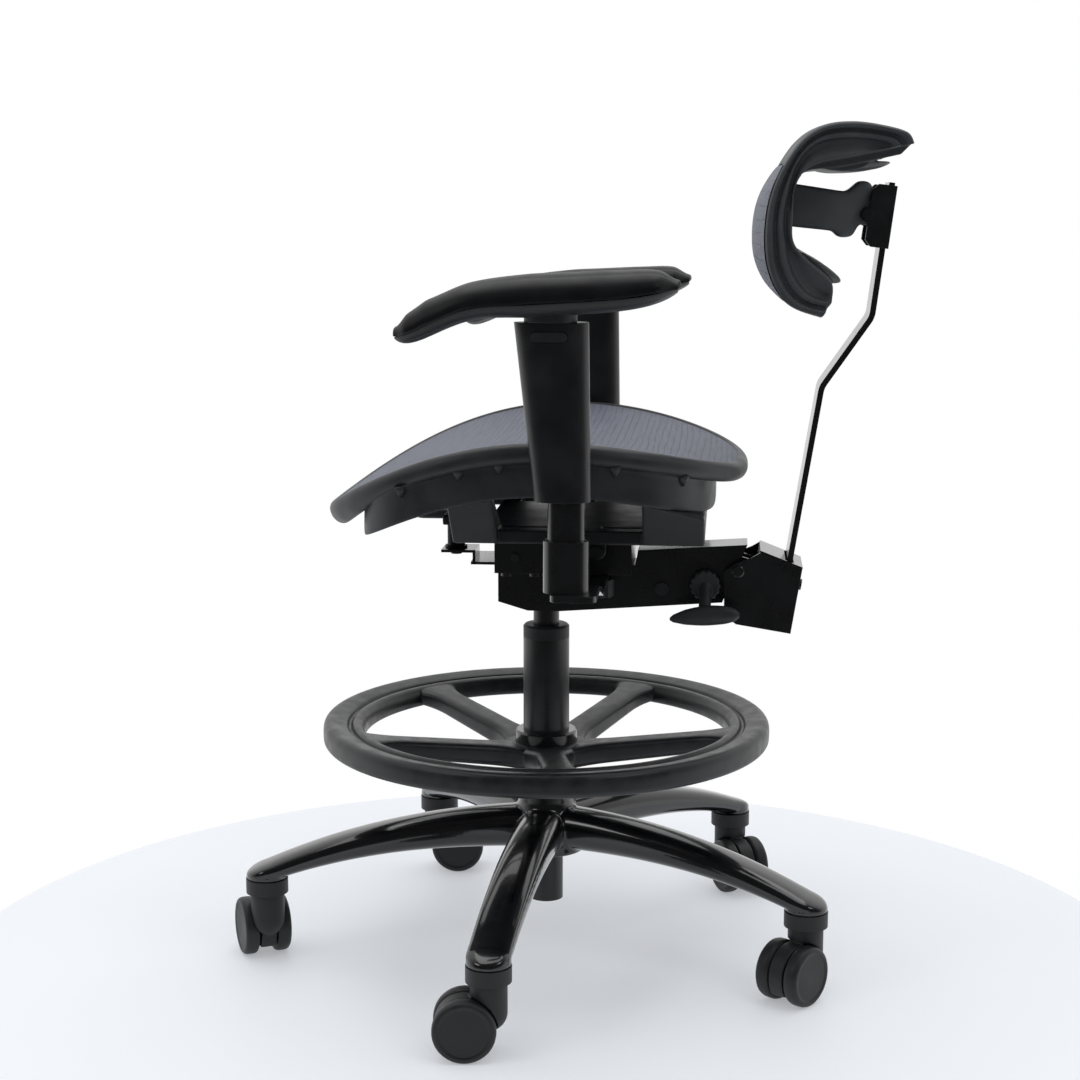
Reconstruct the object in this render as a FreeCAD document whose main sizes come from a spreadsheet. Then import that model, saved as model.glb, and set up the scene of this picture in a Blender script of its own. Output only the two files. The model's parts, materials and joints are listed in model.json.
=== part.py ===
import FreeCAD, Part
import math
import os
import re
import Sketcher
from FreeCAD import Placement, Rotation, Vector

# A studio chair. Millimetres, origin on the floor under the lift column, +Z up,
# the sitter faces -Y and the sitter's left is +X.

SIZES = {
    # five-arm base
    "arm_count": 5,
    "first_arm_angle": -5.45,
    "stem_circle": 307.0,
    "arm_rise": 54.0,
    "arm_rise_power": 2.35,
    "arm_root_depth": 46.0,
    "arm_tip_depth": 20.0,
    "arm_depth_power": 1.2,
    "arm_root_width": 50.0,
    "arm_tip_width": 42.0,
    "hub_diameter": 60.0,
    "hub_skirt_diameter": 86.0,
    "hub_lift": 22.0,
    "hub_height": 71.0,
    "boss_diameter": 45.6,
    "boss_height": 16.0,
    "boss_round": 9.0,
    "socket_collar_height": 16.0,
    # casters
    "wheel_diameter": 63.0,
    "wheel_width": 16.0,
    "wheel_dish": 2.0,
    "wheel_rim": 7.0,
    "wheel_edge": 3.0,
    "wheel_clearance": 1.0,
    "fork_web": 17.0,
    "hood_margin": 1.5,
    "hood_low": 12.0,
    "caster_trail": 23.5,
    "dome_rise": 13.0,
    "caster_height": 75.6,
    "neck_diameter": 37.0,
    "axle_diameter": 8.0,
    "stem_diameter": 11.0,
    "stem_depth": 22.0,
    "swivel_gap": 0.4,
    # gas lift
    "column_diameter": 50.0,
    "column_wall": 2.0,
    "column_foot": 57.0,
    "column_height": 238.0,
    "column_foot_diameter": 37.0,
    "column_taper": 16.0,
    "column_floor": 3.0,
    "bush_flange": 14.0,
    "bush_length": 60.0,
    "bush_edge": 2.0,
    "cylinder_diameter": 28.0,
    "cylinder_wall": 2.0,
    "cylinder_crown": 6.0,
    "cone_length": 32.0,
    "cone_drop": 0.8,
    "cone_inset": 1.5,
    "gland_length": 14.0,
    "rod_diameter": 10.0,
    "rod_clearance": 1.0,
    "rod_shoulder": 18.0,
    "shoulder_height": 6.0,
    "piston_length": 14.0,
    "piston_margin": 16.0,
    "stroke_margin": 6.0,
    "lift_stroke": 200.0,
    "bearing_height": 10.0,
    "bearing_diameter": 30.0,
    "bearing_inset": 1.0,
    "pin_diameter": 8.0,
    "pin_reach": 23.0,
    "pin_travel": 6.0,
    "fit_gap": 0.05,
    "slide_gap": 0.3,
    # foot ring
    "ring_diameter": 486.0,
    "ring_width": 46.0,
    "ring_depth": 25.0,
    "ring_edge": 6.0,
    "groove_width": 16.0,
    "groove_depth": 4.0,
    "groove_slope": 3.0,
    "groove_inset": 11.0,
    "spoke_count": 5,
    "spoke_angle": 9.0,
    "spoke_width": 32.0,
    "spoke_depth": 25.0,
    "spoke_drop": 5.0,
    "spoke_round": 7.0,
    "ring_stand": 51.0,
    "ring_rise": 27.5,
    "ring_hub_diameter": 84.0,
    "ring_hub_depth": 24.0,
    "ring_collar_diameter": 68.0,
    "ring_collar_height": 13.0,
    # mechanism arm
    "housing_stand": 18.5,
    "housing_width": 48.0,
    "housing_wall": 3.0,
    "housing_height": 51.5,
    "housing_front": -50.0,
    "housing_chin_rise": 9.5,
    "housing_chin_run": 32.0,
    "housing_flat": 35.0,
    "roof_step": 16.0,
    "roof_climb": 7.5,
    "roof_length": 119.0,
    "heel_undercut": 26.0,
    "heel_rise": 12.5,
    "side_bolt_ahead": 46.0,
    "side_bolt_below": 6.0,
    "bolt_head": 14.0,
    "bolt_head_height": 4.0,
    "bolt_shank": 8.0,
    # seat tray
    "tray_width": 170.0,
    "tray_wall": 3.0,
    "tray_inset": 3.0,
    "tray_length": 143.0,
    "tray_height": 35.0,
    "tray_gap": 1.0,
    "tongue_reach": 31.0,
    "tongue_width": 70.0,
    "ear_rise": 10.0,
    "ear_reach": 34.0,
    "ear_width": 40.0,
    "small_head": 12.0,
    "small_shank": 6.0,
    "tray_bolt_x": 14.0,
    "tray_bolt_inset": 12.0,
    "rail_bolt_inset": 9.0,
    "rail_bolt_gap": 30.0,
    "bumper_diameter": 19.0,
    "bumper_foot": 24.0,
    "bumper_flange": 2.0,
    "bumper_height": 27.0,
    "bumper_inset": 14.0,
    "bumper_bore": 8.0,
    # height lever
    "lever_inset": 22.0,
    "lever_rise": 14.0,
    "lever_diameter": 9.0,
    "lever_reach": 220.0,
    "lever_forward": 145.0,
    "tab_width": 16.0,
    "tab_overhang": 8.0,
    "tab_thickness": 4.0,
    "tab_drop": 4.0,
    "paddle_width": 26.0,
    "paddle_length": 68.0,
    "paddle_depth": 12.0,
    "paddle_cap": 6.0,
    # seat
    "seat_width": 440.0,
    "seat_front": -233.0,
    "seat_length": 451.0,
    "seat_squareness": 2.5,
    "seat_rise": 110.0,
    "crest_y": 20.0,
    "front_fall": 90.0,
    "front_fall_power": 2.1,
    "rear_fall": 39.0,
    "rear_fall_power": 1.8,
    "rim_height": 20.0,
    "rim_width": 14.0,
    "rim_chamfer": 5.0,
    "skirt_inset": 13.0,
    "skirt_wall": 4.0,
    "skirt_drop": 34.0,
    "skirt_front_inset": 52.0,
    "skirt_rear_inset": 36.0,
    "skirt_squareness": 3.4,
    "skirt_front_squareness": 4.5,
    "deck_thickness": 4.0,
    "mesh_thickness": 2.5,
    "mesh_sink": 4.0,
    "carrier_gap": 4.0,
    "carrier_depth": 14.0,
    "carrier_recess": 5.0,
    "recess_edge": 4.0,
    "carrier_width": 300.0,
    "carrier_front": -58.0,
    "carrier_length": 230.0,
    "carrier_rail": 22.0,
    "carrier_window": 36.0,
    "lobe_front_length": 46.0,
    "lobe_rear_length": 62.0,
    "lobe_foot": 34.0,
    "lobe_wall": 14.0,
    "lobe_rear_inset": 16.0,
    "lug_thickness": 6.0,
    "lug_radius": 10.0,
    "pivot_inset": 36.0,
    "pivot_rise": 23.0,
    "seat_pin": 8.0,
    "seat_pin_head": 12.0,
    # armrests
    "arm_spread": 265.0,
    "right_arm_drop": 14.0,
    "bracket_thickness": 6.0,
    "bracket_width": 44.0,
    "bracket_y": 50.0,
    "bracket_inner": 46.0,
    "bracket_bend": 165.0,
    "bracket_rise": 16.0,
    "bracket_run": 62.0,
    "bracket_over": 24.0,
    "bracket_round": 8.0,
    "arm_knob_x": 70.0,
    "arm_knob_shift": 8.0,
    "arm_knob_diameter": 38.0,
    "arm_knob_height": 18.0,
    "arm_screw": 8.0,
    "flute_count": 10,
    "flute_radius": 4.0,
    "flute_depth": 2.0,
    "width_travel": 20.0,
    "post_shift": 8.0,
    "post_depth": 36.0,
    "post_width": 22.0,
    "post_length": 182.0,
    "socket_wall": 4.0,
    "socket_height": 50.0,
    "socket_floor": 6.0,
    "arm_bolt_gap": 16.0,
    "sleeve_gap": 37.3,
    "sleeve_height": 169.0,
    "sleeve_low_front": 30.5,
    "sleeve_low_rear": 23.5,
    "sleeve_high_front": 49.5,
    "sleeve_high_rear": 21.0,
    "sleeve_low_width": 34.0,
    "sleeve_high_width": 38.0,
    "sleeve_roof": 28.0,
    "button_ahead": 15.0,
    "button_drop": 13.0,
    "button_length": 34.0,
    "button_height": 9.0,
    "button_depth": 8.0,
    "button_proud": 1.2,
    "button_travel": 3.0,
    "pad_boss": 50.0,
    "pad_boss_height": 12.0,
    "pad_width": 88.0,
    "pad_ahead": 145.0,
    "pad_length": 263.5,
    "pad_seam": 0.34,
    "pad_crown": 3.0,
    # back support
    "pivot_back_inset": 9.5,
    "pivot_below": 26.0,
    "back_bolt": 10.0,
    "bar_stand": 53.5,
    "bar_seat_rise": 6.5,
    "bar_lean": 9.07,
    "bar_width": 60.0,
    "bar_thickness": 6.0,
    "bar_tail": 66.0,
    "bar_rise": 190.4,
    "jog_back": 50.0,
    "jog_up": 73.0,
    "bar_top_rise": 138.0,
    "bar_top_lean": 7.07,
    "bar_bend": 22.0,
    "bar_gap": 0.1,
    "box_width": 70.0,
    "box_wall": 3.0,
    "box_rear": 14.2,
    "box_top_front": 32.0,
    "box_low_front": 45.0,
    "box_depth": 72.0,
    "box_crown": 10.0,
    "guide_front": 15.0,
    "guide_inset": 4.0,
    "tongue_plate": 3.0,
    "tongue_half": 15.0,
    "tongue_lead": 14.0,
    "tongue_half_height": 13.0,
    "lock_ahead": 34.5,
    "lock_below": 16.5,
    "lock_screw": 8.0,
    "lock_swing": 12.0,
    "knob_boss": 26.0,
    "knob_boss_length": 10.0,
    "knob_drop": 29.0,
    "knob_stand": 38.0,
    "wing_length": 74.0,
    "wing_height": 20.0,
    "wing_round": 8.5,
    "wing_stem": 14.0,
    "slider_rise": 103.0,
    "slider_width": 72.0,
    "slider_front": 8.0,
    "slider_rear": 5.5,
    "cheek_front": 19.0,
    "cheek_nose": 8.0,
    "slider_half_height": 32.0,
    "slider_bevel": 6.0,
    "back_pin_stand": 20.0,
    "back_pin": 8.0,
    "back_pin_head": 12.0,
    "knuckle_radius": 12.0,
    "knuckle_width": 40.0,
    "back_arm_width": 56.0,
    "frame_half_width": 150.0,
    "frame_bow": 11.0,
    "frame_stand": 96.0,
    "frame_drop": 2.5,
    "window_inset": 26.0,
    "window_margin": 18.0,
    "spine_width": 56.0,
    "back_mesh_inset": 8.0,
    "back_mesh_gap": 1.0,
}

# Places worked out from the sizes
PLACES = {
    "collar_bottom": "caster_height + swivel_gap",
    "collar_top": "collar_bottom + socket_collar_height",
    "arm_tip_top": "collar_top + arm_tip_depth",
    "axle_height": "wheel_diameter / 2",
    "wheel_inner": "fork_web / 2 + wheel_clearance",
    "wheel_outer": "wheel_inner + wheel_width",
    "hub_bottom": "collar_top + hub_lift",
    "hub_top": "hub_bottom + hub_height",
    "column_bottom": "hub_bottom - column_foot",
    "column_top": "hub_bottom + column_height",
    "column_bore": "column_diameter / 2 - column_wall",
    "bearing_bottom": "column_bottom + column_floor",
    "bearing_top": "bearing_bottom + bearing_height",
    "bush_top": "column_top + bush_flange",
    "housing_floor": "bush_top + housing_stand",
    "housing_deck": "housing_floor + housing_height",
    "cone_bottom": "housing_floor + cone_inset",
    "cone_top": "cone_bottom + cone_length",
    "cylinder_radius": "cylinder_diameter / 2",
    "chamber_radius": "cylinder_radius - cylinder_wall",
    "chamber_top": "cone_bottom - cylinder_crown",
    "piston_bottom": "chamber_top - piston_margin - piston_length",
    "cylinder_bottom": "piston_bottom - lift_stroke - gland_length - stroke_margin",
    "pin_floor": "cone_top - pin_reach",
    "ring_outer": "ring_diameter / 2",
    "ring_inner": "ring_outer - ring_width",
    "ring_hub_top": "hub_top + ring_stand",
    "ring_top": "ring_hub_top + ring_rise",
    "ring_bottom": "ring_top - ring_depth",
    "tray_front": "housing_front + tray_inset",
    "tray_rear": "tray_front + tray_length",
    "tray_floor": "housing_deck + tray_wall",
    "tray_top": "tray_floor + tray_height",
    "tray_bolt_front": "tray_front + tray_bolt_inset",
    "tray_bolt_rear": "tray_rear - tray_bolt_inset",
    "rail_bolt_x": "tray_width / 2 - rail_bolt_inset",
    "riser_y": "tray_front - tongue_reach",
    "ear_top": "tray_floor + ear_rise",
    "ear_under": "ear_top - tray_wall",
    "bumper_y": "riser_y - ear_reach + bumper_inset",
    "bumper_top": "ear_top + bumper_height",
    "lever_y": "tray_front + lever_inset",
    "lever_z": "tray_floor + lever_rise",
    "tab_under": "lever_z - lever_diameter / 2 - tab_drop",
    "housing_step": "tray_rear + tray_gap",
    "roof_front_y": "housing_step + housing_wall",
    "roof_front_z": "housing_deck + roof_step",
    "roof_rear_y": "roof_front_y + roof_length - housing_wall",
    "roof_rear_z": "roof_front_z + roof_climb",
    "heel_y": "roof_rear_y - heel_undercut",
    "heel_z": "housing_floor + heel_rise",
    "back_pivot_y": "roof_rear_y - pivot_back_inset",
    "back_pivot_z": "roof_rear_z - pivot_below",
    "lock_y": "back_pivot_y - lock_ahead",
    "lock_z": "back_pivot_z - lock_below",
    "side_bolt_y": "lock_y - side_bolt_ahead",
    "side_bolt_z": "lock_z - side_bolt_below",
    "bar_seat_y": "back_pivot_y + bar_stand",
    "bar_seat_z": "back_pivot_z + bar_seat_rise",
    "bar_room": "bar_thickness / 2 + bar_gap",
    "seat_pivot_y": "tray_rear - pivot_inset",
    "seat_pivot_z": "tray_floor + pivot_rise",
    "lug_inner": "tray_width / 2 + slide_gap",
    "lug_outer": "lug_inner + lug_thickness",
    "carrier_bottom": "tray_top + carrier_gap",
    "carrier_top": "carrier_bottom + carrier_depth",
    "carrier_rear": "carrier_front + carrier_length",
    "carrier_middle": "carrier_front + carrier_length / 2",
    "seat_crest": "carrier_bottom + seat_rise",
    "seat_rear": "seat_front + seat_length",
    "skirt_foot": "rim_height + skirt_drop",
    "skirt_x": "seat_width / 2 - skirt_inset",
    "bracket_top": "housing_deck - slide_gap",
    "bracket_under": "bracket_top - bracket_thickness",
    "socket_seat": "bracket_top + bracket_rise",
    "socket_top": "socket_seat + socket_height",
    "arm_knob_y": "bracket_y + arm_knob_shift",
    "post_y": "bracket_y - post_shift",
    "post_bottom": "socket_seat + socket_floor",
    "sleeve_bottom": "socket_top + sleeve_gap",
    "sleeve_top": "sleeve_bottom + sleeve_height",
    "button_y": "post_y - button_ahead",
    "button_z": "sleeve_top - button_drop",
    "button_outer": "sleeve_high_width / 2 + button_proud",
}

doc = FreeCAD.newDocument("studio_chair")
sheet = doc.addObject("Spreadsheet::Sheet", "sizes")
for row, (alias, number) in enumerate(SIZES.items(), start=1):
    sheet.set("A%d" % row, alias)
    sheet.set("B%d" % row, str(number))
    sheet.setAlias("B%d" % row, alias)
doc.recompute()

NAME = re.compile(r"\b[a-z]+_[a-z_]+\b")


def spelled_out(formula):
    """The formula with each place replaced by the sizes that it comes from."""
    def replace(match):
        name = match.group(0)
        return "(%s)" % spelled_out(PLACES[name]) if name in PLACES else name
    return NAME.sub(replace, formula)


def linked(formula):
    """The formula with each alias written as a cell of the sheet."""
    return NAME.sub(lambda match: "sizes." + match.group(0), spelled_out(formula))


def value(formula):
    return float(sheet.evalExpression(spelled_out(formula)))


def bind(feature, attribute, formula):
    feature.setExpression(attribute, linked(formula))


X_AXIS = Vector(1, 0, 0)
Y_AXIS = Vector(0, 1, 0)
Z_AXIS = Vector(0, 0, 1)
ORIGIN = Vector(0, 0, 0)
NODES = []


def node(feature):
    NODES.append(feature)
    return feature


# Sketches and the features of a body

def new_body(label):
    body = doc.addObject("PartDesign::Body", label)
    body.Label = label
    return body


def new_sketch(body, name, plane, offset="0"):
    sketch = body.newObject("Sketcher::SketchObject", name)
    origin_plane = [item for item in body.Origin.OriginFeatures if item.Role == plane][0]
    sketch.AttachmentSupport = [(origin_plane, "")]
    sketch.MapMode = "FlatFace"
    bind(sketch, "AttachmentOffset.Base.z", offset)
    return sketch


def fix(sketch, constraint, formula):
    number = sketch.addConstraint(constraint)
    sketch.setExpression("Constraints[%d]" % number, linked(formula))


def place_point(sketch, geometry, end, formulas):
    for kind, formula in zip(("DistanceX", "DistanceY"), formulas):
        fix(sketch, Sketcher.Constraint(kind, -1, 1, geometry, end, value(formula)), formula)


def polygon(sketch, points):
    """A closed outline of straight lines through points given as formulas."""
    corners = [Vector(value(across), value(up), 0) for across, up in points]
    count = len(corners)
    for index in range(count):
        sketch.addGeometry(Part.LineSegment(corners[index], corners[(index + 1) % count]), False)
    for index in range(count):
        sketch.addConstraint(Sketcher.Constraint("Coincident", index, 2, (index + 1) % count, 1))
    for index, formulas in enumerate(points):
        place_point(sketch, index, 1, formulas)


def circle(sketch, centre, radius):
    middle = Vector(value(centre[0]), value(centre[1]), 0)
    index = sketch.addGeometry(Part.Circle(middle, Z_AXIS, value(radius)), False)
    place_point(sketch, index, 3, centre)
    fix(sketch, Sketcher.Constraint("Radius", index, value(radius)), radius)


def slot(sketch, centre, length, height, upright=False):
    """A round-ended slot, along the sketch's first axis or upright along its second."""
    spread = "((%s) - (%s)) / 2" % (length, height)
    half = "(%s) / 2" % height
    middle = Vector(value(centre[0]), value(centre[1]), 0)
    long_way = Vector(0, 1, 0) if upright else Vector(1, 0, 0)
    side_way = Vector(-1, 0, 0) if upright else Vector(0, 1, 0)
    first = middle + long_way * value(spread)
    second = middle - long_way * value(spread)
    side = side_way * value(half)
    radius = value(half)
    start = math.radians(0 if upright else -90)
    turn = math.pi
    sketch.addGeometry(Part.LineSegment(second - side, first - side), False)
    sketch.addGeometry(Part.ArcOfCircle(Part.Circle(first, Z_AXIS, radius), start, start + turn), False)
    sketch.addGeometry(Part.LineSegment(first + side, second + side), False)
    far_end = Part.Circle(second, Z_AXIS, radius)
    sketch.addGeometry(Part.ArcOfCircle(far_end, start + turn, start + 2 * turn), False)
    for index in range(4):
        sketch.addConstraint(Sketcher.Constraint("Tangent", index, 2, (index + 1) % 4, 1))
    for index, sign in ((1, "+"), (3, "-")):
        moved = "(%s) %s %s"
        if upright:
            place_point(sketch, index, 3, (centre[0], moved % (centre[1], sign, spread)))
        else:
            place_point(sketch, index, 3, (moved % (centre[0], sign, spread), centre[1]))
    fix(sketch, Sketcher.Constraint("Radius", 1, radius), half)


def pad(body, sketch, length, name):
    feature = body.newObject("PartDesign::Pad", name)
    feature.Profile = sketch
    bind(feature, "Length", length)
    doc.recompute([body])
    return feature


def pocket(body, sketch, depth, name):
    """A pocket along the sketch's own normal, which has to remove material."""
    before = body.Shape.Volume
    feature = body.newObject("PartDesign::Pocket", name)
    feature.Profile = sketch
    feature.Reversed = True
    bind(feature, "Length", depth)
    doc.recompute([body])
    if body.Shape.Volume >= before:
        raise ValueError("the pocket %s cuts nothing" % name)
    return feature


def revolved(label, outline):
    """A body of revolution about the Z axis from (radius, height) formulas."""
    body = new_body(label)
    sketch = new_sketch(body, label + "_profile", "XZ_Plane")
    polygon(sketch, outline)
    feature = body.newObject("PartDesign::Revolution", label + "_turned")
    feature.Profile = sketch
    feature.ReferenceAxis = (sketch, ["V_Axis"])
    feature.Angle = 360
    doc.recompute([body])
    return body


def extruded(label, plane, outline, start, length):
    """A body padded from start along the plane's normal."""
    body = new_body(label)
    sketch = new_sketch(body, label + "_outline", plane, start)
    polygon(sketch, outline)
    pad(body, sketch, length, label + "_pad")
    return body


def drill(body, name, plane, centre, radius, start, depth):
    sketch = new_sketch(body, name + "_circle", plane, start)
    circle(sketch, centre, radius)
    pocket(body, sketch, depth, name)


def round_edges(body, name, radius, chosen):
    """Fillet the edges of the body that the chosen test accepts."""
    doc.recompute([body])
    names = ["Edge%d" % (index + 1) for index, edge in enumerate(body.Shape.Edges) if chosen(edge)]
    carrier = body.Tip
    feature = body.newObject("PartDesign::Fillet", name)
    feature.Base = (carrier, names)
    bind(feature, "Radius", radius)
    doc.recompute([body])


def along(edge, direction):
    """True for a straight edge that runs along the given direction."""
    if edge.Curve.TypeId != "Part::GeomLine":
        return False
    return abs(edge.tangentAt(edge.FirstParameter).dot(direction)) > 0.999


def is_circle(edge, radius):
    """True for a round edge of this radius."""
    return edge.Curve.TypeId == "Part::GeomCircle" and abs(edge.Curve.Radius - value(radius)) < 0.01


# Primitives, booleans and copies

def moved_to(feature, base):
    for axis, formula in zip("xyz", base):
        bind(feature, "Placement.Base." + axis, formula)
    return feature


def rod(label, radius, length, base, direction=Z_AXIS):
    feature = doc.addObject("Part::Cylinder", label)
    feature.Placement = Placement(ORIGIN, Rotation(Z_AXIS, direction))
    bind(feature, "Radius", radius)
    bind(feature, "Height", length)
    return moved_to(feature, base)


def box(label, across, ahead, up):
    """A box between (low, high) formulas along X, Y and Z."""
    feature = doc.addObject("Part::Box", label)
    for attribute, (low, high) in zip(("Length", "Width", "Height"), (across, ahead, up)):
        bind(feature, attribute, "(%s) - (%s)" % (high, low))
    return moved_to(feature, (across[0], ahead[0], up[0]))


def ball(label, radius, base):
    feature = doc.addObject("Part::Sphere", label)
    bind(feature, "Radius", radius)
    return moved_to(feature, base)


def fuse(label, pieces):
    feature = doc.addObject("Part::MultiFuse", label)
    feature.Shapes = pieces
    feature.Refine = True
    doc.recompute([feature])
    return feature


def cut(label, base, tools):
    feature = doc.addObject("Part::Cut", label)
    feature.Base = base
    feature.Tool = tools[0] if len(tools) == 1 else fuse(label + "_tools", tools)
    doc.recompute([feature])
    return feature


def group(label, pieces):
    """Separate solids kept as one object, or one solid under a placement of its own."""
    feature = doc.addObject("Part::Compound", label)
    feature.Links = pieces
    doc.recompute([feature])
    return feature


def mirrored(label, source):
    """The same piece on the sitter's right."""
    feature = doc.addObject("Part::Mirroring", label)
    feature.Source = source
    feature.Normal = X_AXIS
    doc.recompute([feature])
    return feature


def solid_form(label, shape):
    feature = doc.addObject("Part::Feature", label)
    feature.Shape = shape
    return feature


def spin(angle):
    return Rotation(Z_AXIS, angle)


def slab(corners, width):
    """A prism across the chair, centred on it, from corners in the YZ plane."""
    start = X_AXIS * (-width / 2)
    ring = [corner + start for corner in corners]
    return Part.Face(Part.makePolygon(ring + ring[:1])).extrude(X_AXIS * width)


def smooth_edge(points):
    curve = Part.BSplineCurve()
    curve.interpolate(points)
    return curve.toShape()


# Five-arm base

ARM_COUNT = int(value("arm_count"))
ARM_ANGLES = [value("first_arm_angle + 360 / arm_count * %d" % index) for index in range(ARM_COUNT)]


def around_stems(label, template):
    """A copy of the template at each stem, as a list."""
    copies = []
    for index, angle in enumerate(ARM_ANGLES):
        copy = group("%s_%d" % (label, index + 1), [template])
        place = ("stem_circle * cos(%s)" % angle, "stem_circle * sin(%s)" % angle, "0")
        copies.append(moved_to(copy, place))
    return copies


def arm_section(radius):
    """The arm's oval section across the X axis at this radius."""
    share = radius / value("stem_circle")
    top = value("arm_tip_top") + value("arm_rise") * (1 - share ** value("arm_rise_power"))
    half_width = (value("arm_root_width") + (value("arm_tip_width") - value("arm_root_width")) * share) / 2
    lost_depth = (value("arm_root_depth") - value("arm_tip_depth")) * share ** value("arm_depth_power")
    half_depth = (value("arm_root_depth") - lost_depth) / 2
    centre = Vector(radius, 0, top - half_depth)
    oval = Part.Ellipse(centre + Y_AXIS * half_width, centre + Z_AXIS * half_depth, centre)
    return Part.Wire(oval.toShape())


def base_limb():
    """One tapering arm along X with the round boss at its end."""
    root = value("hub_diameter / 2 + column_wall")
    tip = value("stem_circle - stem_diameter / 2")
    steps = 6
    stations = [root + (tip - root) * index / steps for index in range(steps + 1)]
    arm = Part.makeLoft([arm_section(radius) for radius in stations], True)
    seat = Vector(value("stem_circle"), 0, value("collar_top"))
    boss = Part.makeCylinder(value("boss_diameter / 2"), value("boss_height"), seat)
    top_edges = [edge for edge in boss.Edges if edge.BoundBox.ZMin > seat.z + 1]
    boss = boss.makeFillet(value("boss_round"), top_edges)
    below = Part.makeCylinder(value("boss_diameter"), value("collar_top"), Vector(seat.x, 0, 0))
    return arm.fuse(boss).cut(below)


hub = revolved("hub_form", [
    ("column_foot_diameter / 2 + fit_gap", "hub_bottom"),
    ("hub_skirt_diameter / 2", "hub_bottom"),
    ("hub_skirt_diameter / 2", "hub_bottom + hub_height * 0.4"),
    ("hub_diameter / 2", "hub_bottom + hub_height * 0.7"),
    ("hub_diameter / 2", "hub_top"),
    ("column_diameter / 2 + fit_gap", "hub_top"),
    ("column_diameter / 2 + fit_gap", "hub_bottom + column_taper"),
])
limb = solid_form("limb_form", base_limb())
limbs = []
for angle in ARM_ANGLES:
    copy = group("limb_copy", [limb])
    copy.Placement = Placement(ORIGIN, spin(angle))
    limbs.append(copy)
node(fuse("base_star", [hub] + limbs))

socket = revolved("socket_form", [
    ("stem_diameter / 2", "collar_bottom"),
    ("boss_diameter / 2", "collar_bottom"),
    ("boss_diameter / 2", "collar_top"),
    ("stem_diameter / 2", "collar_top"),
])
node(group("caster_sockets", around_stems("socket", socket)))

stem = revolved("stem_form", [
    ("0", "caster_height - stem_depth + fit_gap"),
    ("stem_diameter / 2", "caster_height - stem_depth + fit_gap"),
    ("stem_diameter / 2", "collar_top"),
    ("0", "collar_top"),
])
node(group("caster_stems", around_stems("stem", stem)))

node(revolved("lift_column", [
    ("rod_diameter / 2 + rod_clearance", "column_bottom"),
    ("column_foot_diameter / 2", "column_bottom"),
    ("column_foot_diameter / 2", "hub_bottom"),
    ("column_diameter / 2", "hub_bottom + column_taper"),
    ("column_diameter / 2", "column_top"),
    ("column_bore", "column_top"),
    ("column_bore", "hub_bottom + column_taper + column_wall / 2"),
    ("column_foot_diameter / 2 - column_wall", "hub_bottom + column_wall / 2"),
    ("column_foot_diameter / 2 - column_wall", "bearing_bottom"),
    ("rod_diameter / 2 + rod_clearance", "bearing_bottom"),
]))


# Casters: the swivel axis is the form's Z and the wheels trail along its X

axle_centre = ("caster_trail", "0", "axle_height")


def from_web(label, radius, length, side):
    """A cylinder on the axle's line that starts at one face of the fork's web."""
    start = ("caster_trail", side + "fork_web / 2", "axle_height")
    return rod(label, radius, length, start, Y_AXIS if side == "" else -Y_AXIS)


hood = from_web("hood", "wheel_diameter / 2 - hood_margin", "fork_web", "-")
hood.Placement.Rotation = Rotation(Z_AXIS, Y_AXIS)
dome_centre = ("0", "0", "axle_height + dome_rise")
neck = rod("neck", "neck_diameter / 2", "caster_height - axle_height - dome_rise", dome_centre)
dome = ball("dome", "neck_diameter / 2", dome_centre)
span = ("-wheel_diameter", "2 * wheel_diameter")
fork_form = cut("fork_form", fuse("fork_solid", [hood, neck, dome]), [
    from_web("left_wheel_room", "wheel_diameter / 2 + wheel_clearance", "wheel_diameter", ""),
    from_web("right_wheel_room", "wheel_diameter / 2 + wheel_clearance", "wheel_diameter", "-"),
    box("floor_room", span, span, ("-1", "hood_low")),
    rod("stem_hole", "stem_diameter / 2 + fit_gap", "stem_depth + 1",
        ("0", "0", "caster_height - stem_depth")),
    rod("axle_hole", "axle_diameter / 2 + fit_gap", "2 * wheel_outer",
        ("caster_trail", "-wheel_outer", "axle_height"), Y_AXIS),
])

wheel = revolved("wheel_form", [
    ("axle_diameter / 2", "wheel_inner"),
    ("wheel_diameter / 2 - wheel_edge", "wheel_inner"),
    ("wheel_diameter / 2", "wheel_inner + wheel_edge"),
    ("wheel_diameter / 2", "wheel_outer - wheel_edge"),
    ("wheel_diameter / 2 - wheel_edge", "wheel_outer"),
    ("wheel_diameter / 2 - wheel_rim", "wheel_outer"),
    ("wheel_diameter / 2 - wheel_rim - wheel_dish / 2", "wheel_outer - wheel_dish"),
    ("axle_diameter / 2", "wheel_outer - wheel_dish"),
])
pair = []
for angle in (90, -90):
    copy = group("wheel_copy", [wheel])
    copy.Placement = Placement(ORIGIN, Rotation(X_AXIS, angle))
    pair.append(moved_to(copy, axle_centre))
axle = rod("axle", "axle_diameter / 2", "2 * (wheel_outer - wheel_dish)",
           ("caster_trail", "wheel_dish - wheel_outer", "axle_height"), Y_AXIS)
wheels_form = group("wheels_form", pair + [axle])

# Which way each caster trails, in the order of the arms
TRAIL_ANGLES = (-85.0, -37.0, 27.0, 93.0, 206.0)
for kind, template in (("fork", fork_form), ("wheels", wheels_form)):
    for copy, trail in zip(around_stems("caster_" + kind, template), TRAIL_ANGLES):
        copy.Placement.Rotation = spin(trail)
        node(copy)


# Gas lift

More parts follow.
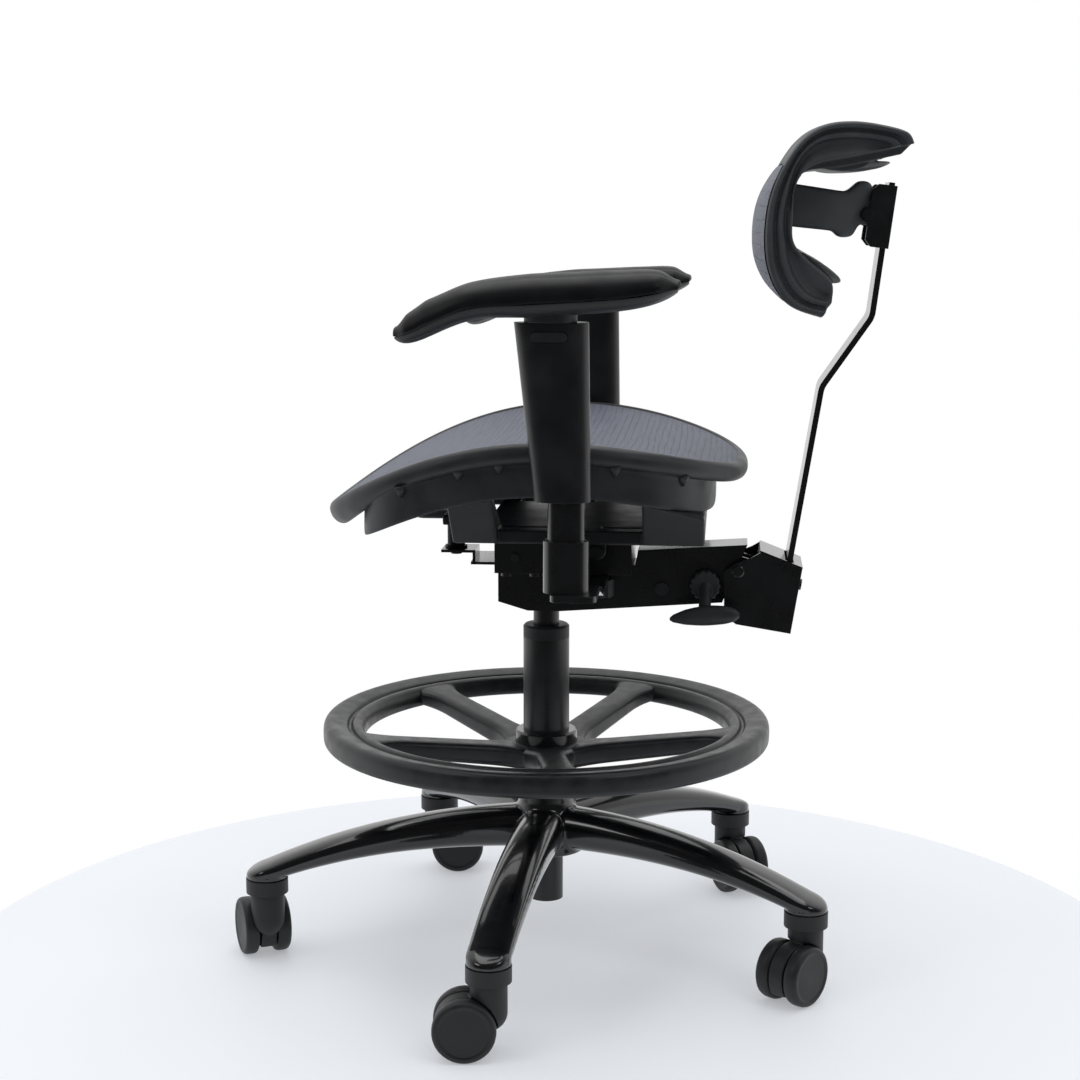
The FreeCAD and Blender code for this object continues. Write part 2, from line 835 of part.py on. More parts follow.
node(revolved("lift_bush", [
    ("cylinder_radius + fit_gap", "column_top - bush_length"),
    ("column_bore - fit_gap", "column_top - bush_length"),
    ("column_bore - fit_gap", "column_top"),
    ("column_diameter / 2", "column_top"),
    ("column_diameter / 2", "bush_top - bush_edge"),
    ("column_diameter / 2 - bush_edge", "bush_top"),
    ("cylinder_radius + fit_gap", "bush_top"),
]))


def bearing_ring(label, low, high, inset):
    return revolved(label, [
        ("rod_diameter / 2 + slide_gap + " + inset, low),
        ("bearing_diameter / 2 - " + inset, low),
        ("bearing_diameter / 2 - " + inset, high),
        ("rod_diameter / 2 + slide_gap + " + inset, high),
    ])


cage_low = "bearing_bottom + bearing_height / 5"
cage_high = "bearing_top - bearing_height / 5"
node(group("lift_thrust_bearing", [
    bearing_ring("lower_washer", "bearing_bottom", cage_low, "0"),
    bearing_ring("bearing_cage", cage_low, cage_high, "bearing_inset"),
    bearing_ring("upper_washer", cage_high, "bearing_top", "0"),
]))

node(revolved("lift_rod", [
    ("0", "column_bottom + rod_clearance"),
    ("rod_diameter / 2", "column_bottom + rod_clearance"),
    ("rod_diameter / 2", "bearing_top + fit_gap"),
    ("rod_shoulder / 2", "bearing_top + fit_gap"),
    ("rod_shoulder / 2", "bearing_top + shoulder_height"),
    ("rod_diameter / 2", "bearing_top + shoulder_height"),
    ("rod_diameter / 2", "piston_bottom"),
    ("chamber_radius - fit_gap", "piston_bottom"),
    ("chamber_radius - fit_gap", "piston_bottom + piston_length"),
    ("0", "piston_bottom + piston_length"),
]))

node(revolved("lift_cylinder", [
    ("chamber_radius", "cylinder_bottom"),
    ("cylinder_radius", "cylinder_bottom"),
    ("cylinder_radius", "cone_bottom"),
    ("cylinder_radius - cone_drop", "cone_top"),
    ("pin_diameter / 2 + fit_gap", "cone_top"),
    ("pin_diameter / 2 + fit_gap", "pin_floor"),
    ("0", "pin_floor"),
    ("0", "chamber_top"),
    ("chamber_radius", "chamber_top"),
]))

node(revolved("lift_gland", [
    ("rod_diameter / 2 + fit_gap", "cylinder_bottom"),
    ("chamber_radius", "cylinder_bottom"),
    ("chamber_radius", "cylinder_bottom + gland_length"),
    ("rod_diameter / 2 + fit_gap", "cylinder_bottom + gland_length"),
]))

node(revolved("lift_release_pin", [
    ("0", "pin_floor + pin_travel"),
    ("pin_diameter / 2", "pin_floor + pin_travel"),
    ("pin_diameter / 2", "tab_under - slide_gap"),
    ("0", "tab_under - slide_gap"),
]))

node(revolved("cone_socket", [
    ("cylinder_radius", "cone_bottom"),
    ("housing_width / 2 - housing_wall", "cone_bottom"),
    ("housing_width / 2 - housing_wall", "housing_deck - housing_wall"),
    ("cylinder_radius - cone_drop", "housing_deck - housing_wall"),
    ("cylinder_radius - cone_drop", "cone_top"),
]))


# Foot ring

ring = revolved("ring_form", [
    ("ring_outer", "ring_bottom"),
    ("ring_outer", "ring_top"),
    ("ring_outer - groove_inset", "ring_top"),
    ("ring_outer - groove_inset - groove_slope", "ring_top - groove_depth"),
    ("ring_outer - groove_inset - groove_width + groove_slope", "ring_top - groove_depth"),
    ("ring_outer - groove_inset - groove_width", "ring_top"),
    ("ring_inner", "ring_top"),
    ("ring_inner", "ring_bottom"),
])
round_edges(ring, "ring_rounds", "ring_edge",
            lambda edge: is_circle(edge, "ring_outer") or is_circle(edge, "ring_inner"))

spoke_end = "ring_inner + ring_edge"
spoke = extruded("spoke_form", "XZ_Plane", [
    ("column_diameter / 2 + slide_gap", "ring_hub_top - spoke_drop / 2"),
    ("ring_hub_diameter / 2", "ring_hub_top - spoke_drop / 2"),
    (spoke_end, "ring_top - spoke_drop"),
    (spoke_end, "ring_top - spoke_depth"),
    ("ring_hub_diameter / 2", "ring_hub_top - spoke_depth"),
    ("column_diameter / 2 + slide_gap", "ring_hub_top - spoke_depth"),
], "-spoke_width / 2", "spoke_width")
spoke_run = value(spoke_end + " - ring_hub_diameter / 2")
climb = Vector(spoke_run, 0, value("ring_rise - spoke_drop / 2")).normalize()
round_edges(spoke, "spoke_rounds", "spoke_round", lambda edge: along(edge, climb))
spokes = []
for index in range(int(value("spoke_count"))):
    copy = group("spoke_copy", [spoke])
    copy.Placement = Placement(ORIGIN, spin(value("spoke_angle + 360 / spoke_count * %d" % index)))
    spokes.append(copy)
ring_hub = rod("ring_hub", "ring_hub_diameter / 2", "ring_hub_depth",
               ("0", "0", "ring_hub_top - ring_hub_depth"))
ring_bore = rod("ring_bore", "column_diameter / 2 + fit_gap", "ring_stand + ring_hub_depth",
                ("0", "0", "hub_top"))
node(cut("foot_ring", fuse("ring_solid", [ring, ring_hub] + spokes), [ring_bore]))

node(revolved("foot_ring_collar", [
    ("column_diameter / 2 + fit_gap", "ring_hub_top"),
    ("ring_collar_diameter / 2", "ring_hub_top"),
    ("ring_collar_diameter / 2", "ring_hub_top + ring_collar_height - bush_edge"),
    ("ring_collar_diameter / 2 - bush_edge", "ring_hub_top + ring_collar_height"),
    ("column_diameter / 2 + fit_gap", "ring_hub_top + ring_collar_height"),
]))


# Mechanism arm, a channel open below and behind

def main_housing():
    body = extruded("main_housing", "YZ_Plane", [
        ("housing_front", "housing_deck"),
        ("housing_front", "housing_floor + housing_chin_rise"),
        ("housing_front + housing_chin_run", "housing_floor"),
        ("housing_front + housing_chin_run + housing_flat", "housing_floor"),
        ("heel_y", "heel_z"),
        ("roof_rear_y", "roof_rear_z"),
        ("roof_front_y", "roof_front_z"),
        ("housing_step", "housing_deck"),
    ], "-housing_width / 2", "housing_width")
    cavity = new_sketch(body, "housing_cavity", "YZ_Plane", "housing_wall - housing_width / 2")
    slope = "roof_climb / (roof_rear_y - roof_front_y)"
    polygon(cavity, [
        ("housing_front + housing_wall", "housing_deck - housing_wall"),
        ("housing_front + housing_wall", "housing_floor - housing_wall"),
        ("roof_rear_y + housing_wall", "housing_floor - housing_wall"),
        ("roof_rear_y + housing_wall", "roof_rear_z + housing_wall * (%s) - housing_wall" % slope),
        ("roof_front_y + housing_wall", "roof_front_z + housing_wall * (%s) - housing_wall" % slope),
        ("housing_step + housing_wall", "housing_deck - housing_wall"),
    ])
    pocket(body, cavity, "housing_width - 2 * housing_wall", "channel")
    across = ("-housing_width", "2 * housing_width")
    drill(body, "pivot_hole", "YZ_Plane", ("back_pivot_y", "back_pivot_z"), "back_bolt / 2", *across)
    drill(body, "lock_hole", "YZ_Plane", ("lock_y", "lock_z"), "lock_screw / 2 + fit_gap", *across)
    drill(body, "side_hole", "YZ_Plane", ("side_bolt_y", "side_bolt_z"), "bolt_shank / 2", *across)
    through_deck = ("housing_deck - housing_wall", "housing_wall")
    drill(body, "pin_hole", "XY_Plane", ("0", "0"), "pin_diameter / 2 + rod_clearance", *through_deck)
    for side in ("-", ""):
        for end in ("front", "rear"):
            drill(body, "deck_hole", "XY_Plane", (side + "tray_bolt_x", "tray_bolt_" + end),
                  "small_shank / 2", *through_deck)
        drill(body, "roof_hole", "XY_Plane", (side + "housing_width / 5", "lock_y - small_head"),
              "small_shank / 3", "housing_deck", "roof_step + roof_climb")
    round_edges(body, "roof_rounds", "housing_wall / 2", lambda edge: (
        abs(abs(edge.CenterOfMass.x) - value("housing_width / 2")) < 0.1
        and edge.BoundBox.ZMin > value("housing_deck") and edge.BoundBox.YLength > value("roof_length / 2")))
    return body


node(main_housing())


# Seat tray, folded from sheet

def seat_tray():
    half = "tray_width / 2"
    body = extruded("seat_tray", "XY_Plane", [
        ("-tray_width / 2", "tray_front"),
        ("-tongue_width / 2", "tray_front"),
        ("-tongue_width / 2", "riser_y"),
        ("tongue_width / 2", "riser_y"),
        ("tongue_width / 2", "tray_front"),
        (half, "tray_front"),
        (half, "tray_rear"),
        ("-tray_width / 2", "tray_rear"),
    ], "housing_deck", "tray_wall")

    def wall(name, across, ahead, up):
        sketch = new_sketch(body, name + "_outline", "XY_Plane", up[0])
        polygon(sketch, [(across[0], ahead[0]), (across[1], ahead[0]),
                         (across[1], ahead[1]), (across[0], ahead[1])])
        pad(body, sketch, "(%s) - (%s)" % (up[1], up[0]), name)

    tall = ("tray_floor", "tray_top")
    depth = ("tray_front", "tray_rear")
    width = ("-tray_width / 2", half)
    wall("left_wall", ("tray_width / 2 - tray_wall", half), depth, tall)
    wall("right_wall", ("-tray_width / 2", "tray_wall - tray_width / 2"), depth, tall)
    wall("front_wall", width, ("tray_front", "tray_front + tray_wall"), tall)
    wall("rear_wall", width, ("tray_rear - tray_wall", "tray_rear"), tall)
    ear = ("-ear_width / 2", "ear_width / 2")
    wall("ear_riser", ear, ("riser_y", "riser_y + tray_wall"), ("tray_floor", "ear_top"))
    wall("ear_plate", ear, ("riser_y - ear_reach", "riser_y + tray_wall"), ("ear_under", "ear_top"))
    across = ("-tray_width", "2 * tray_width")
    drill(body, "seat_pin_hole", "YZ_Plane", ("seat_pivot_y", "seat_pivot_z"), "seat_pin / 2", *across)
    drill(body, "lever_hole", "YZ_Plane", ("lever_y", "lever_z"), "lever_diameter / 2 + fit_gap", *across)
    floor = ("housing_deck", "tray_wall")
    drill(body, "pin_room", "XY_Plane", ("0", "0"), "pin_diameter / 2 + rod_clearance", *floor)
    drill(body, "bumper_hole", "XY_Plane", ("0", "bumper_y"), "small_shank / 2", "ear_under", "tray_wall")
    for side in ("-", ""):
        for end in ("front", "rear"):
            drill(body, "bolt_hole", "XY_Plane", (side + "tray_bolt_x", "tray_bolt_" + end),
                  "small_shank / 2", *floor)
        for step in ("0", "rail_bolt_gap"):
            drill(body, "rail_hole", "XY_Plane", (side + "rail_bolt_x", "tray_bolt_front + " + step),
                  "small_shank / 2", *floor)
        drill(body, "screw_hole", "XY_Plane", (side + "arm_knob_x", "arm_knob_y"),
              "arm_screw / 2 + fit_gap", *floor)
    return body


node(seat_tray())


def bolt(label, seat, direction, grip, head="small_head / 2", shank="small_shank / 2"):
    """A bolt whose round head stands on the seat along direction, its shank going back by grip."""
    head_form = rod(label + "_head", head, "bolt_head_height", seat, direction)
    shank_form = rod(label + "_shank", shank, grip, seat, -direction)
    return fuse(label, [head_form, shank_form])


def cross_pin(label, half_length, radius, head, place):
    """A pin across the chair with a head on each end."""
    y, z = place
    far_end = "-(%s)" % half_length
    pieces = [rod(label + "_shaft", radius, "2 * (%s)" % half_length, (far_end, y, z), X_AXIS)]
    for side, direction in (("", X_AXIS), ("-", -X_AXIS)):
        end = side + "(%s)" % half_length
        pieces.append(rod(label + "_head", head, "bolt_head_height", (end, y, z), direction))
    return fuse(label, pieces)


def mechanism_bolts():
    """Every bolt that is fixed in the housing and the tray, each one a solid of its own."""
    bolts = [cross_pin("pivot_bolt", "housing_width / 2", "back_bolt / 2", "bolt_head / 2",
                       ("back_pivot_y", "back_pivot_z"))]
    for side, outward in (("", X_AXIS), ("-", -X_AXIS)):
        bolts.append(bolt("side_bolt", (side + "housing_width / 2", "side_bolt_y", "side_bolt_z"), outward,
                          "2 * housing_wall", "bolt_head / 2", "bolt_shank / 2"))
        for end in ("front", "rear"):
            bolts.append(bolt("tray_bolt", (side + "tray_bolt_x", "tray_bolt_" + end, "tray_floor"), Z_AXIS,
                              "tray_wall + housing_wall"))
        for step in ("0", "rail_bolt_gap"):
            place = (side + "rail_bolt_x", "tray_bolt_front + " + step, "housing_deck")
            bolts.append(bolt("rail_bolt", place,
                              -Z_AXIS, "tray_wall"))
    bolts.append(bolt("bumper_screw", ("0", "bumper_y", "ear_under"), -Z_AXIS, "tray_wall + bumper_bore"))
    return group("mechanism_bolts", bolts)


node(mechanism_bolts())

bumper = revolved("front_bumper", [
    ("small_shank / 2", "ear_top"),
    ("bumper_foot / 2", "ear_top"),
    ("bumper_foot / 2", "ear_top + bumper_flange"),
    ("bumper_diameter / 2", "ear_top + bumper_flange"),
    ("bumper_diameter / 2", "bumper_top - bush_edge"),
    ("bumper_diameter / 2 - bush_edge", "bumper_top"),
    ("0", "bumper_top"),
    ("0", "ear_top + bumper_bore"),
    ("small_shank / 2", "ear_top + bumper_bore"),
])
node(moved_to(bumper, ("0", "bumper_y", "0")))


# Height lever: a cross rod, the tab over the valve pin and a leg bent forward on the sitter's right

lever_corner = ("-lever_reach", "lever_y", "lever_z")
tab = extruded("lever_tab", "YZ_Plane", [
    ("lever_y - lever_diameter / 2", "lever_z"),
    ("lever_y", "lever_z"),
    ("tab_overhang", "tab_under + tab_thickness"),
    ("tab_overhang", "tab_under"),
    ("lever_y", "tab_under"),
    ("lever_y - lever_diameter / 2", "lever_z - lever_diameter / 2"),
], "-tab_width / 2", "tab_width")
node(fuse("height_lever", [
    rod("lever_rod", "lever_diameter / 2", "lever_reach + tray_width / 2 + tray_wall",
        lever_corner, X_AXIS),
    rod("lever_leg", "lever_diameter / 2", "lever_forward", lever_corner, -Y_AXIS),
    ball("lever_elbow", "lever_diameter / 2", lever_corner),
    tab,
]))

paddle_tip = "lever_y - lever_forward - paddle_cap"


def lever_paddle():
    body = new_body("paddle_form")
    sketch = new_sketch(body, "paddle_outline", "XY_Plane", "lever_z - paddle_depth / 2")
    middle = ("-lever_reach", paddle_tip + " + paddle_length / 2")
    slot(sketch, middle, "paddle_length", "paddle_width", True)
    pad(body, sketch, "paddle_depth", "paddle_pad")
    round_edges(body, "paddle_rounds", "paddle_depth / 3", lambda edge: edge.BoundBox.ZLength < 0.01)
    bore = rod("paddle_bore", "lever_diameter / 2", "paddle_length",
               ("-lever_reach", "lever_y - lever_forward", "lever_z"), Y_AXIS)
    return cut("lever_paddle", body, [bore])


node(lever_paddle())


# Seat: the plan is a rounded square and the height follows a side profile

def rounded_plan(half_width, front, rear, front_squareness, rear_squareness):
    """A rounded square as a closed wire at height zero."""
    half_depth = (rear - front) / 2
    middle = (rear + front) / 2
    count = 48
    points = []
    for index in range(count):
        angle = 2 * math.pi * (index + 0.5) / count
        power = 2 / (rear_squareness if math.sin(angle) > 0 else front_squareness)
        across = math.copysign(abs(math.cos(angle)) ** power, math.cos(angle))
        ahead = math.copysign(abs(math.sin(angle)) ** power, math.sin(angle))
        points.append(Vector(half_width * across, middle + half_depth * ahead, 0))
    curve = Part.BSplineCurve()
    curve.interpolate(points, PeriodicFlag=True)
    return Part.Wire(curve.toShape())


def upright_prism(wire):
    return Part.Face(wire).extrude(Z_AXIS * value("2 * seat_crest"))


def plan_prism(inset):
    """The upright space inside the seat's plan, drawn in by inset."""
    return upright_prism(rounded_plan(value("seat_width / 2") - inset, value("seat_front") + inset,
                                      value("seat_rear") - inset, value("seat_squareness"),
                                      value("seat_squareness")))


def skirt_prism(inset):
    """The upright space inside the skirt, which stands back from the rim at both ends."""
    return upright_prism(rounded_plan(value("skirt_x") - inset,
                                      value("seat_front + skirt_front_inset") + inset,
                                      value("seat_rear - skirt_rear_inset") - inset,
                                      value("skirt_front_squareness"), value("skirt_squareness")))


def seat_height(y):
    """Height of the rim's top edge at y."""
    crest = value("crest_y")
    if y < crest:
        share = (crest - y) / (crest - value("seat_front"))
        return value("seat_crest") - value("front_fall") * share ** value("front_fall_power")
    share = (y - crest) / (value("seat_rear") - crest)
    return value("seat_crest") - value("rear_fall") * share ** value("rear_fall_power")


def seat_band(upper, lower):
    """All space between two heights measured from the seat's side profile."""
    margin = value("rim_height")
    start = value("seat_front") - margin
    finish = value("seat_rear") + margin
    count = 16
    levels = [start + (finish - start) * index / count for index in range(count + 1)]
    top = [Vector(0, y, seat_height(y) + upper) for y in levels]
    low = [Vector(0, y, seat_height(y) + lower) for y in levels]
    outline = [smooth_edge(top), Part.makeLine(top[-1], low[-1]),
               smooth_edge(low), Part.makeLine(low[0], top[0])]
    band = Part.Face(Part.Wire(outline)).extrude(X_AXIS * value("2 * seat_width"))
    band.translate(X_AXIS * value("-seat_width"))
    return band


def seat_frame():
    """The rolled rim, in three steps that round its outer edges, a deck inside it and the skirt."""
    rim_width = value("rim_width")
    rim_height = value("rim_height")
    chamfer = value("rim_chamfer")
    hole = plan_prism(rim_width)
    tall = plan_prism(chamfer).cut(hole).common(seat_band(0, -rim_height))
    middle = plan_prism(chamfer * 0.3).common(seat_band(-chamfer * 0.3, chamfer * 0.3 - rim_height))
    wide = plan_prism(0).common(seat_band(-chamfer, chamfer - rim_height))
    inside = skirt_prism(value("skirt_wall"))
    deck_top = value("deck_thickness") - rim_height
    deck = plan_prism(chamfer).cut(inside).common(seat_band(deck_top, -rim_height))
    skirt = skirt_prism(0).cut(inside).common(seat_band(deck_top, -value("skirt_foot")))
    frame = tall.multiFuse([middle.cut(hole), wide.cut(hole), deck, skirt])
    return frame.removeSplitter().Solids[0]


node(solid_form("seat_frame", seat_frame()))


def seat_mesh():
    sink = value("mesh_sink")
    sheet_space = seat_band(-sink, -sink - value("mesh_thickness"))
    return plan_prism(value("rim_width + slide_gap")).common(sheet_space).Solids[0]


node(solid_form("seat_mesh", seat_mesh()))


def seat_carrier():
    """A recessed plate with windows, four lobes up to the skirt, a front tongue and two pivot lugs."""
    level = ("carrier_bottom", "carrier_top")
    half = "carrier_width / 2"
    plate = box("carrier_plate", ("-carrier_width / 2", half), ("carrier_front", "carrier_rear"), level)
    floor = "carrier_top - carrier_recess"
    edge = "(carrier_width / 2 - lobe_foot - recess_edge)"
    windows = [box("carrier_hollow", ("-" + edge, edge), ("carrier_front", "carrier_rear"),
                   (floor, "carrier_top"))]
    pieces = []
    sky = solid_form("carrier_sky", seat_band(value("seat_crest"), -value("skirt_foot + fit_gap")))
    for side in ("", "-"):
        near = side + "(carrier_width / 2 - carrier_rail)"
        far = side + "(carrier_width / 2 - carrier_rail - carrier_window)"
        across = (far, near) if side == "" else (near, far)
        for ahead in (("carrier_front + carrier_rail", "carrier_middle - carrier_rail / 2"),
                      ("carrier_middle + carrier_rail / 2", "carrier_rear - carrier_rail")):
            windows.append(box("carrier_window", across, ahead, level))
        spans = (("front_lobe", "-(carrier_front + carrier_rail)", "lobe_front_length", "skirt_x"),
                 ("rear_lobe", "-carrier_rear", "lobe_rear_length", "skirt_x - lobe_rear_inset"))
        for name, start, length, reach in spans:
            lobe = extruded(name, "XZ_Plane", [
                (side + "(carrier_width / 2 - lobe_foot)", "carrier_bottom"),
                (side + half, "carrier_bottom"),
                (side + "(%s)" % reach, "seat_crest - skirt_foot"),
                (side + "(%s)" % reach, "seat_crest"),
                (side + "(%s - lobe_wall)" % reach, "seat_crest"),
                (side + "(%s - lobe_wall)" % reach, "seat_crest - skirt_foot"),
                (side + "(carrier_width / 2 - lobe_foot)", "carrier_top"),
            ], start, length)
            pieces.append(cut(name + "_fitted", lobe, [sky]))
        start = side + ("lug_inner" if side == "" else "lug_outer")
        end = side + ("lug_outer" if side == "" else "lug_inner")
        pieces.append(rod("pivot_lug", "lug_radius", "lug_thickness",
                          (start, "seat_pivot_y", "seat_pivot_z"), X_AXIS))
        pieces.append(box("lug_web", (start, end),
                          ("seat_pivot_y - lug_radius", "seat_pivot_y + lug_radius"),
                          ("seat_pivot_z", floor)))
    pieces.append(box("carrier_tongue", ("-bumper_foot", "bumper_foot"),
                      ("bumper_y - bumper_foot / 2", "carrier_front + carrier_rail"),
                      ("bumper_top + slide_gap", floor)))
    solid = fuse("carrier_solid", [cut("carrier_frame", plate, windows)] + pieces)
    bore = rod("carrier_bore", "seat_pin / 2 + fit_gap", "2 * lug_outer",
               ("-lug_outer", "seat_pivot_y", "seat_pivot_z"), X_AXIS)
    return cut("seat_carrier", solid, [bore])


node(seat_carrier())
node(cross_pin("seat_pivot_pin", "lug_outer + slide_gap", "seat_pin / 2", "seat_pin_head / 2",
               ("seat_pivot_y", "seat_pivot_z")))


# Armrests, drawn on the sitter's left and mirrored

def arm_bracket():
    body = new_body("bracket_form")
    sketch = new_sketch(body, "bracket_outline", "XZ_Plane", "-bracket_y - bracket_width / 2")
    polygon(sketch, [
        ("bracket_inner", "bracket_under"),
        ("bracket_bend", "bracket_under"),
        ("bracket_bend + bracket_run", "bracket_under + bracket_rise"),
        ("arm_spread + bracket_over", "bracket_under + bracket_rise"),
        ("arm_spread + bracket_over", "socket_seat"),
        ("bracket_bend + bracket_run", "socket_seat"),
        ("bracket_bend", "bracket_top"),
        ("bracket_inner", "bracket_top"),
    ])
    pad(body, sketch, "bracket_width", "bracket_bar")
    room = "arm_screw + 2 * slide_gap"
    slot_sketch = new_sketch(body, "width_slot", "XY_Plane", "bracket_under")
    slot_low = "bracket_inner - width_travel"
    slot_high = "arm_knob_x + width_travel"
    slot(slot_sketch, ("(%s + %s) / 2" % (slot_low, slot_high), "arm_knob_y"),
         "%s - (%s) + %s" % (slot_high, slot_low, room), room)
    pocket(body, slot_sketch, "bracket_thickness", "width_slot_cut")
    for side in ("-", "+"):
        drill(body, "socket_hole", "XY_Plane", ("arm_spread", "post_y %s arm_bolt_gap / 2" % side),
              "small_shank / 2", "bracket_under + bracket_rise", "bracket_thickness")
    round_edges(body, "bracket_rounds", "bracket_round",
                lambda edge: along(edge, Z_AXIS) and edge.CenterOfMass.x > value("arm_spread"))
    bolts = []
    for side in ("-", "+"):
        seat = ("arm_spread", "post_y %s arm_bolt_gap / 2" % side, "bracket_under + bracket_rise")
        bolts.append(bolt("arm_bolt", seat, -Z_AXIS, "bracket_thickness + socket_floor"))
    return group("arm_bracket_left", [body] + bolts)


def oblong(label, depth, width, low, high):
    """An upright bar of round-ended section, centred on the post."""
    body = new_body(label)
    sketch = new_sketch(body, label + "_outline", "XY_Plane", low)
    slot(sketch, ("arm_spread", "post_y"), depth, width, True)
    pad(body, sketch, "(%s) - (%s)" % (high, low), label + "_pad")
    return body


def arm_post():
    return oblong("arm_post_left", "post_depth", "post_width", "post_bottom", "post_bottom + post_length")


def arm_socket():
    outside = oblong("socket_outside", "post_depth + 2 * socket_wall", "post_width + 2 * socket_wall",
                     "socket_seat", "socket_top")
    inside = oblong("socket_inside", "post_depth", "post_width", "post_bottom", "socket_top")
    tools = [inside]
    for side in ("-", "+"):
        tools.append(rod("socket_bolt_hole", "small_shank / 2", "socket_floor",
                         ("arm_spread", "post_y %s arm_bolt_gap / 2" % side, "socket_seat")))
    return cut("arm_socket_left", outside, tools)


def button_bar(label, margin, start, depth):
    """The release button's round-ended bar, grown by margin, along X."""
    body = new_body(label)
    sketch = new_sketch(body, label + "_outline", "YZ_Plane", start)
    slot(sketch, ("button_y", "button_z"), "button_length + 2 * (%s)" % margin,
         "button_height + 2 * (%s)" % margin)
    pad(body, sketch, depth, label + "_pad")
    return body


def sleeve_oval(front, rear, width, height):
    """The sleeve's oval outline at one height, front and rear measured from the post."""
    centre = Vector(value("arm_spread"), value("post_y + (%s - %s) / 2" % (rear, front)), value(height))
    half_depth = value("(%s + %s) / 2" % (front, rear))
    oval = Part.Ellipse(centre + Y_AXIS * half_depth, centre + X_AXIS * value("%s / 2" % width), centre)
    return Part.Wire(oval.toShape())


def arm_sleeve():
    lower = sleeve_oval("sleeve_low_front", "sleeve_low_rear", "sleeve_low_width", "sleeve_bottom")
    upper = sleeve_oval("sleeve_high_front", "sleeve_high_rear", "sleeve_high_width", "sleeve_top")
    shell = solid_form("sleeve_shell", Part.makeLoft([lower, upper], True))
    bore = oblong("sleeve_bore", "post_depth + 2 * slide_gap", "post_width + 2 * slide_gap",
                  "sleeve_bottom - slide_gap", "sleeve_top - sleeve_roof")
    recess = button_bar("button_recess", "slide_gap",
                        "arm_spread + button_outer - button_depth - button_travel - slide_gap",
                        "sleeve_high_width")
    return cut("arm_sleeve_left", shell, [bore, recess])


def arm_button():
    return button_bar("arm_button_left", "0", "arm_spread + button_outer - button_depth", "button_depth")


# Stations along the arm pad: share of the length, underside and top above the sleeve, share of the width
PAD_STATIONS = (
    (0.0, -18.0, -5.0, 0.42),
    (0.04, -20.5, 7.0, 0.66),
    (0.11, -15.0, 20.0, 0.82),
    (0.26, 0.5, 36.0, 0.97),
    (0.45, 4.0, 43.5, 1.0),
    (0.62, 6.5, 46.0, 1.0),
    (0.80, 10.5, 48.0, 0.97),
    (0.93, 18.0, 48.0, 0.84),
    (1.0, 28.0, 39.0, 0.5),
)


def pad_place(share, height):
    """A point on the pad's middle plane at a share of its length, above the sleeve's top."""
    y = value("button_y - pad_ahead + pad_length * %s" % share)
    return Vector(value("arm_spread"), y, value("sleeve_top") + height)


def pad_wire(share, low, high, part):
    """One section of the pad: six arcs with a flat crown and full round sides."""
    half = value("pad_width / 2") * part
    middle = pad_place(share, (low + high) / 2)
    rise = (high - low) / 2
    crown = min(value("pad_crown"), rise / 3)
    shoulder = half - rise * 0.9

    def point(across, up):
        return middle + Vector(across, 0, up)

    def arc(first, second, third):
        return Part.Arc(point(*first), point(*second), point(*third)).toShape()

    bulge = rise * 0.9 * math.sin(math.radians(45))
    edges = []
    for side in (1, -1):
        brow = side * (rise - crown)
        edges.append(arc((-side * shoulder, brow), (0, side * rise), (side * shoulder, brow)))
        edges.append(arc((side * shoulder, side * (rise - crown)),
                         (side * (shoulder + bulge), side * (rise - crown) * 0.72), (side * half, 0)))
        edges.append(arc((side * half, 0), (side * (shoulder + bulge), -side * (rise - crown) * 0.72),
                         (side * shoulder, -side * (rise - crown))))
    return Part.Wire(edges)


def whole_pad():
    return Part.makeLoft([pad_wire(*station) for station in PAD_STATIONS], True)


def above_seam(gap):
    """All space above the pad's seam line, raised by gap."""
    seam = value("pad_seam")
    points = [pad_place(share, low + seam * (high - low) + gap) for share, low, high, part in PAD_STATIONS]
    points = [Vector(0, point.y, point.z) for point in points]
    lead = Y_AXIS * value("pad_crown")
    points = [points[0] - lead] + points + [points[-1] + lead]
    sky = Z_AXIS * value("pad_length")
    outline = [smooth_edge(points), Part.makeLine(points[-1], points[-1] + sky),
               Part.makeLine(points[-1] + sky, points[0] + sky), Part.makeLine(points[0] + sky, points[0])]
    return Part.Face(Part.Wire(outline)).extrude(X_AXIS * value("2 * arm_spread"))


def arm_pad():
    return solid_form("arm_pad_left", whole_pad().common(above_seam(value("slide_gap"))).Solids[0])


def arm_pad_base():
    shell = solid_form("pad_shell", whole_pad().cut(above_seam(0)).Solids[0])
    seat = ("arm_spread", "button_y", "sleeve_top + slide_gap")
    boss = rod("pad_boss", "pad_boss / 2", "pad_boss_height", seat)
    return fuse("arm_pad_base_left", [shell, boss])


def arm_knob():
    """A fluted hand knob under the bracket with its screw up into the tray."""
    top = "bracket_under - slide_gap"
    grip = rod("knob_grip", "arm_knob_diameter / 2", "arm_knob_height",
               ("arm_knob_x", "arm_knob_y", top + " - arm_knob_height"))
    flutes = []
    for index in range(int(value("flute_count"))):
        turn = "360 / flute_count * %d" % index
        reach = "(arm_knob_diameter / 2 + flute_radius - flute_depth)"
        place = ("arm_knob_x + %s * cos(%s)" % (reach, turn), "arm_knob_y + %s * sin(%s)" % (reach, turn),
                 top + " - arm_knob_height")
        flutes.append(rod("knob_flute", "flute_radius", "arm_knob_height", place))
    screw = rod("knob_screw", "arm_screw / 2", "bracket_thickness + tray_wall + 2 * slide_gap",
                ("arm_knob_x", "arm_knob_y", top))
    return fuse("arm_knob_left", [cut("knob_fluted", grip, flutes), screw])


for make in (arm_bracket, arm_socket, arm_post, arm_knob):
    left = node(make())
    node(mirrored(left.Name.replace("_left", "_right"), left))
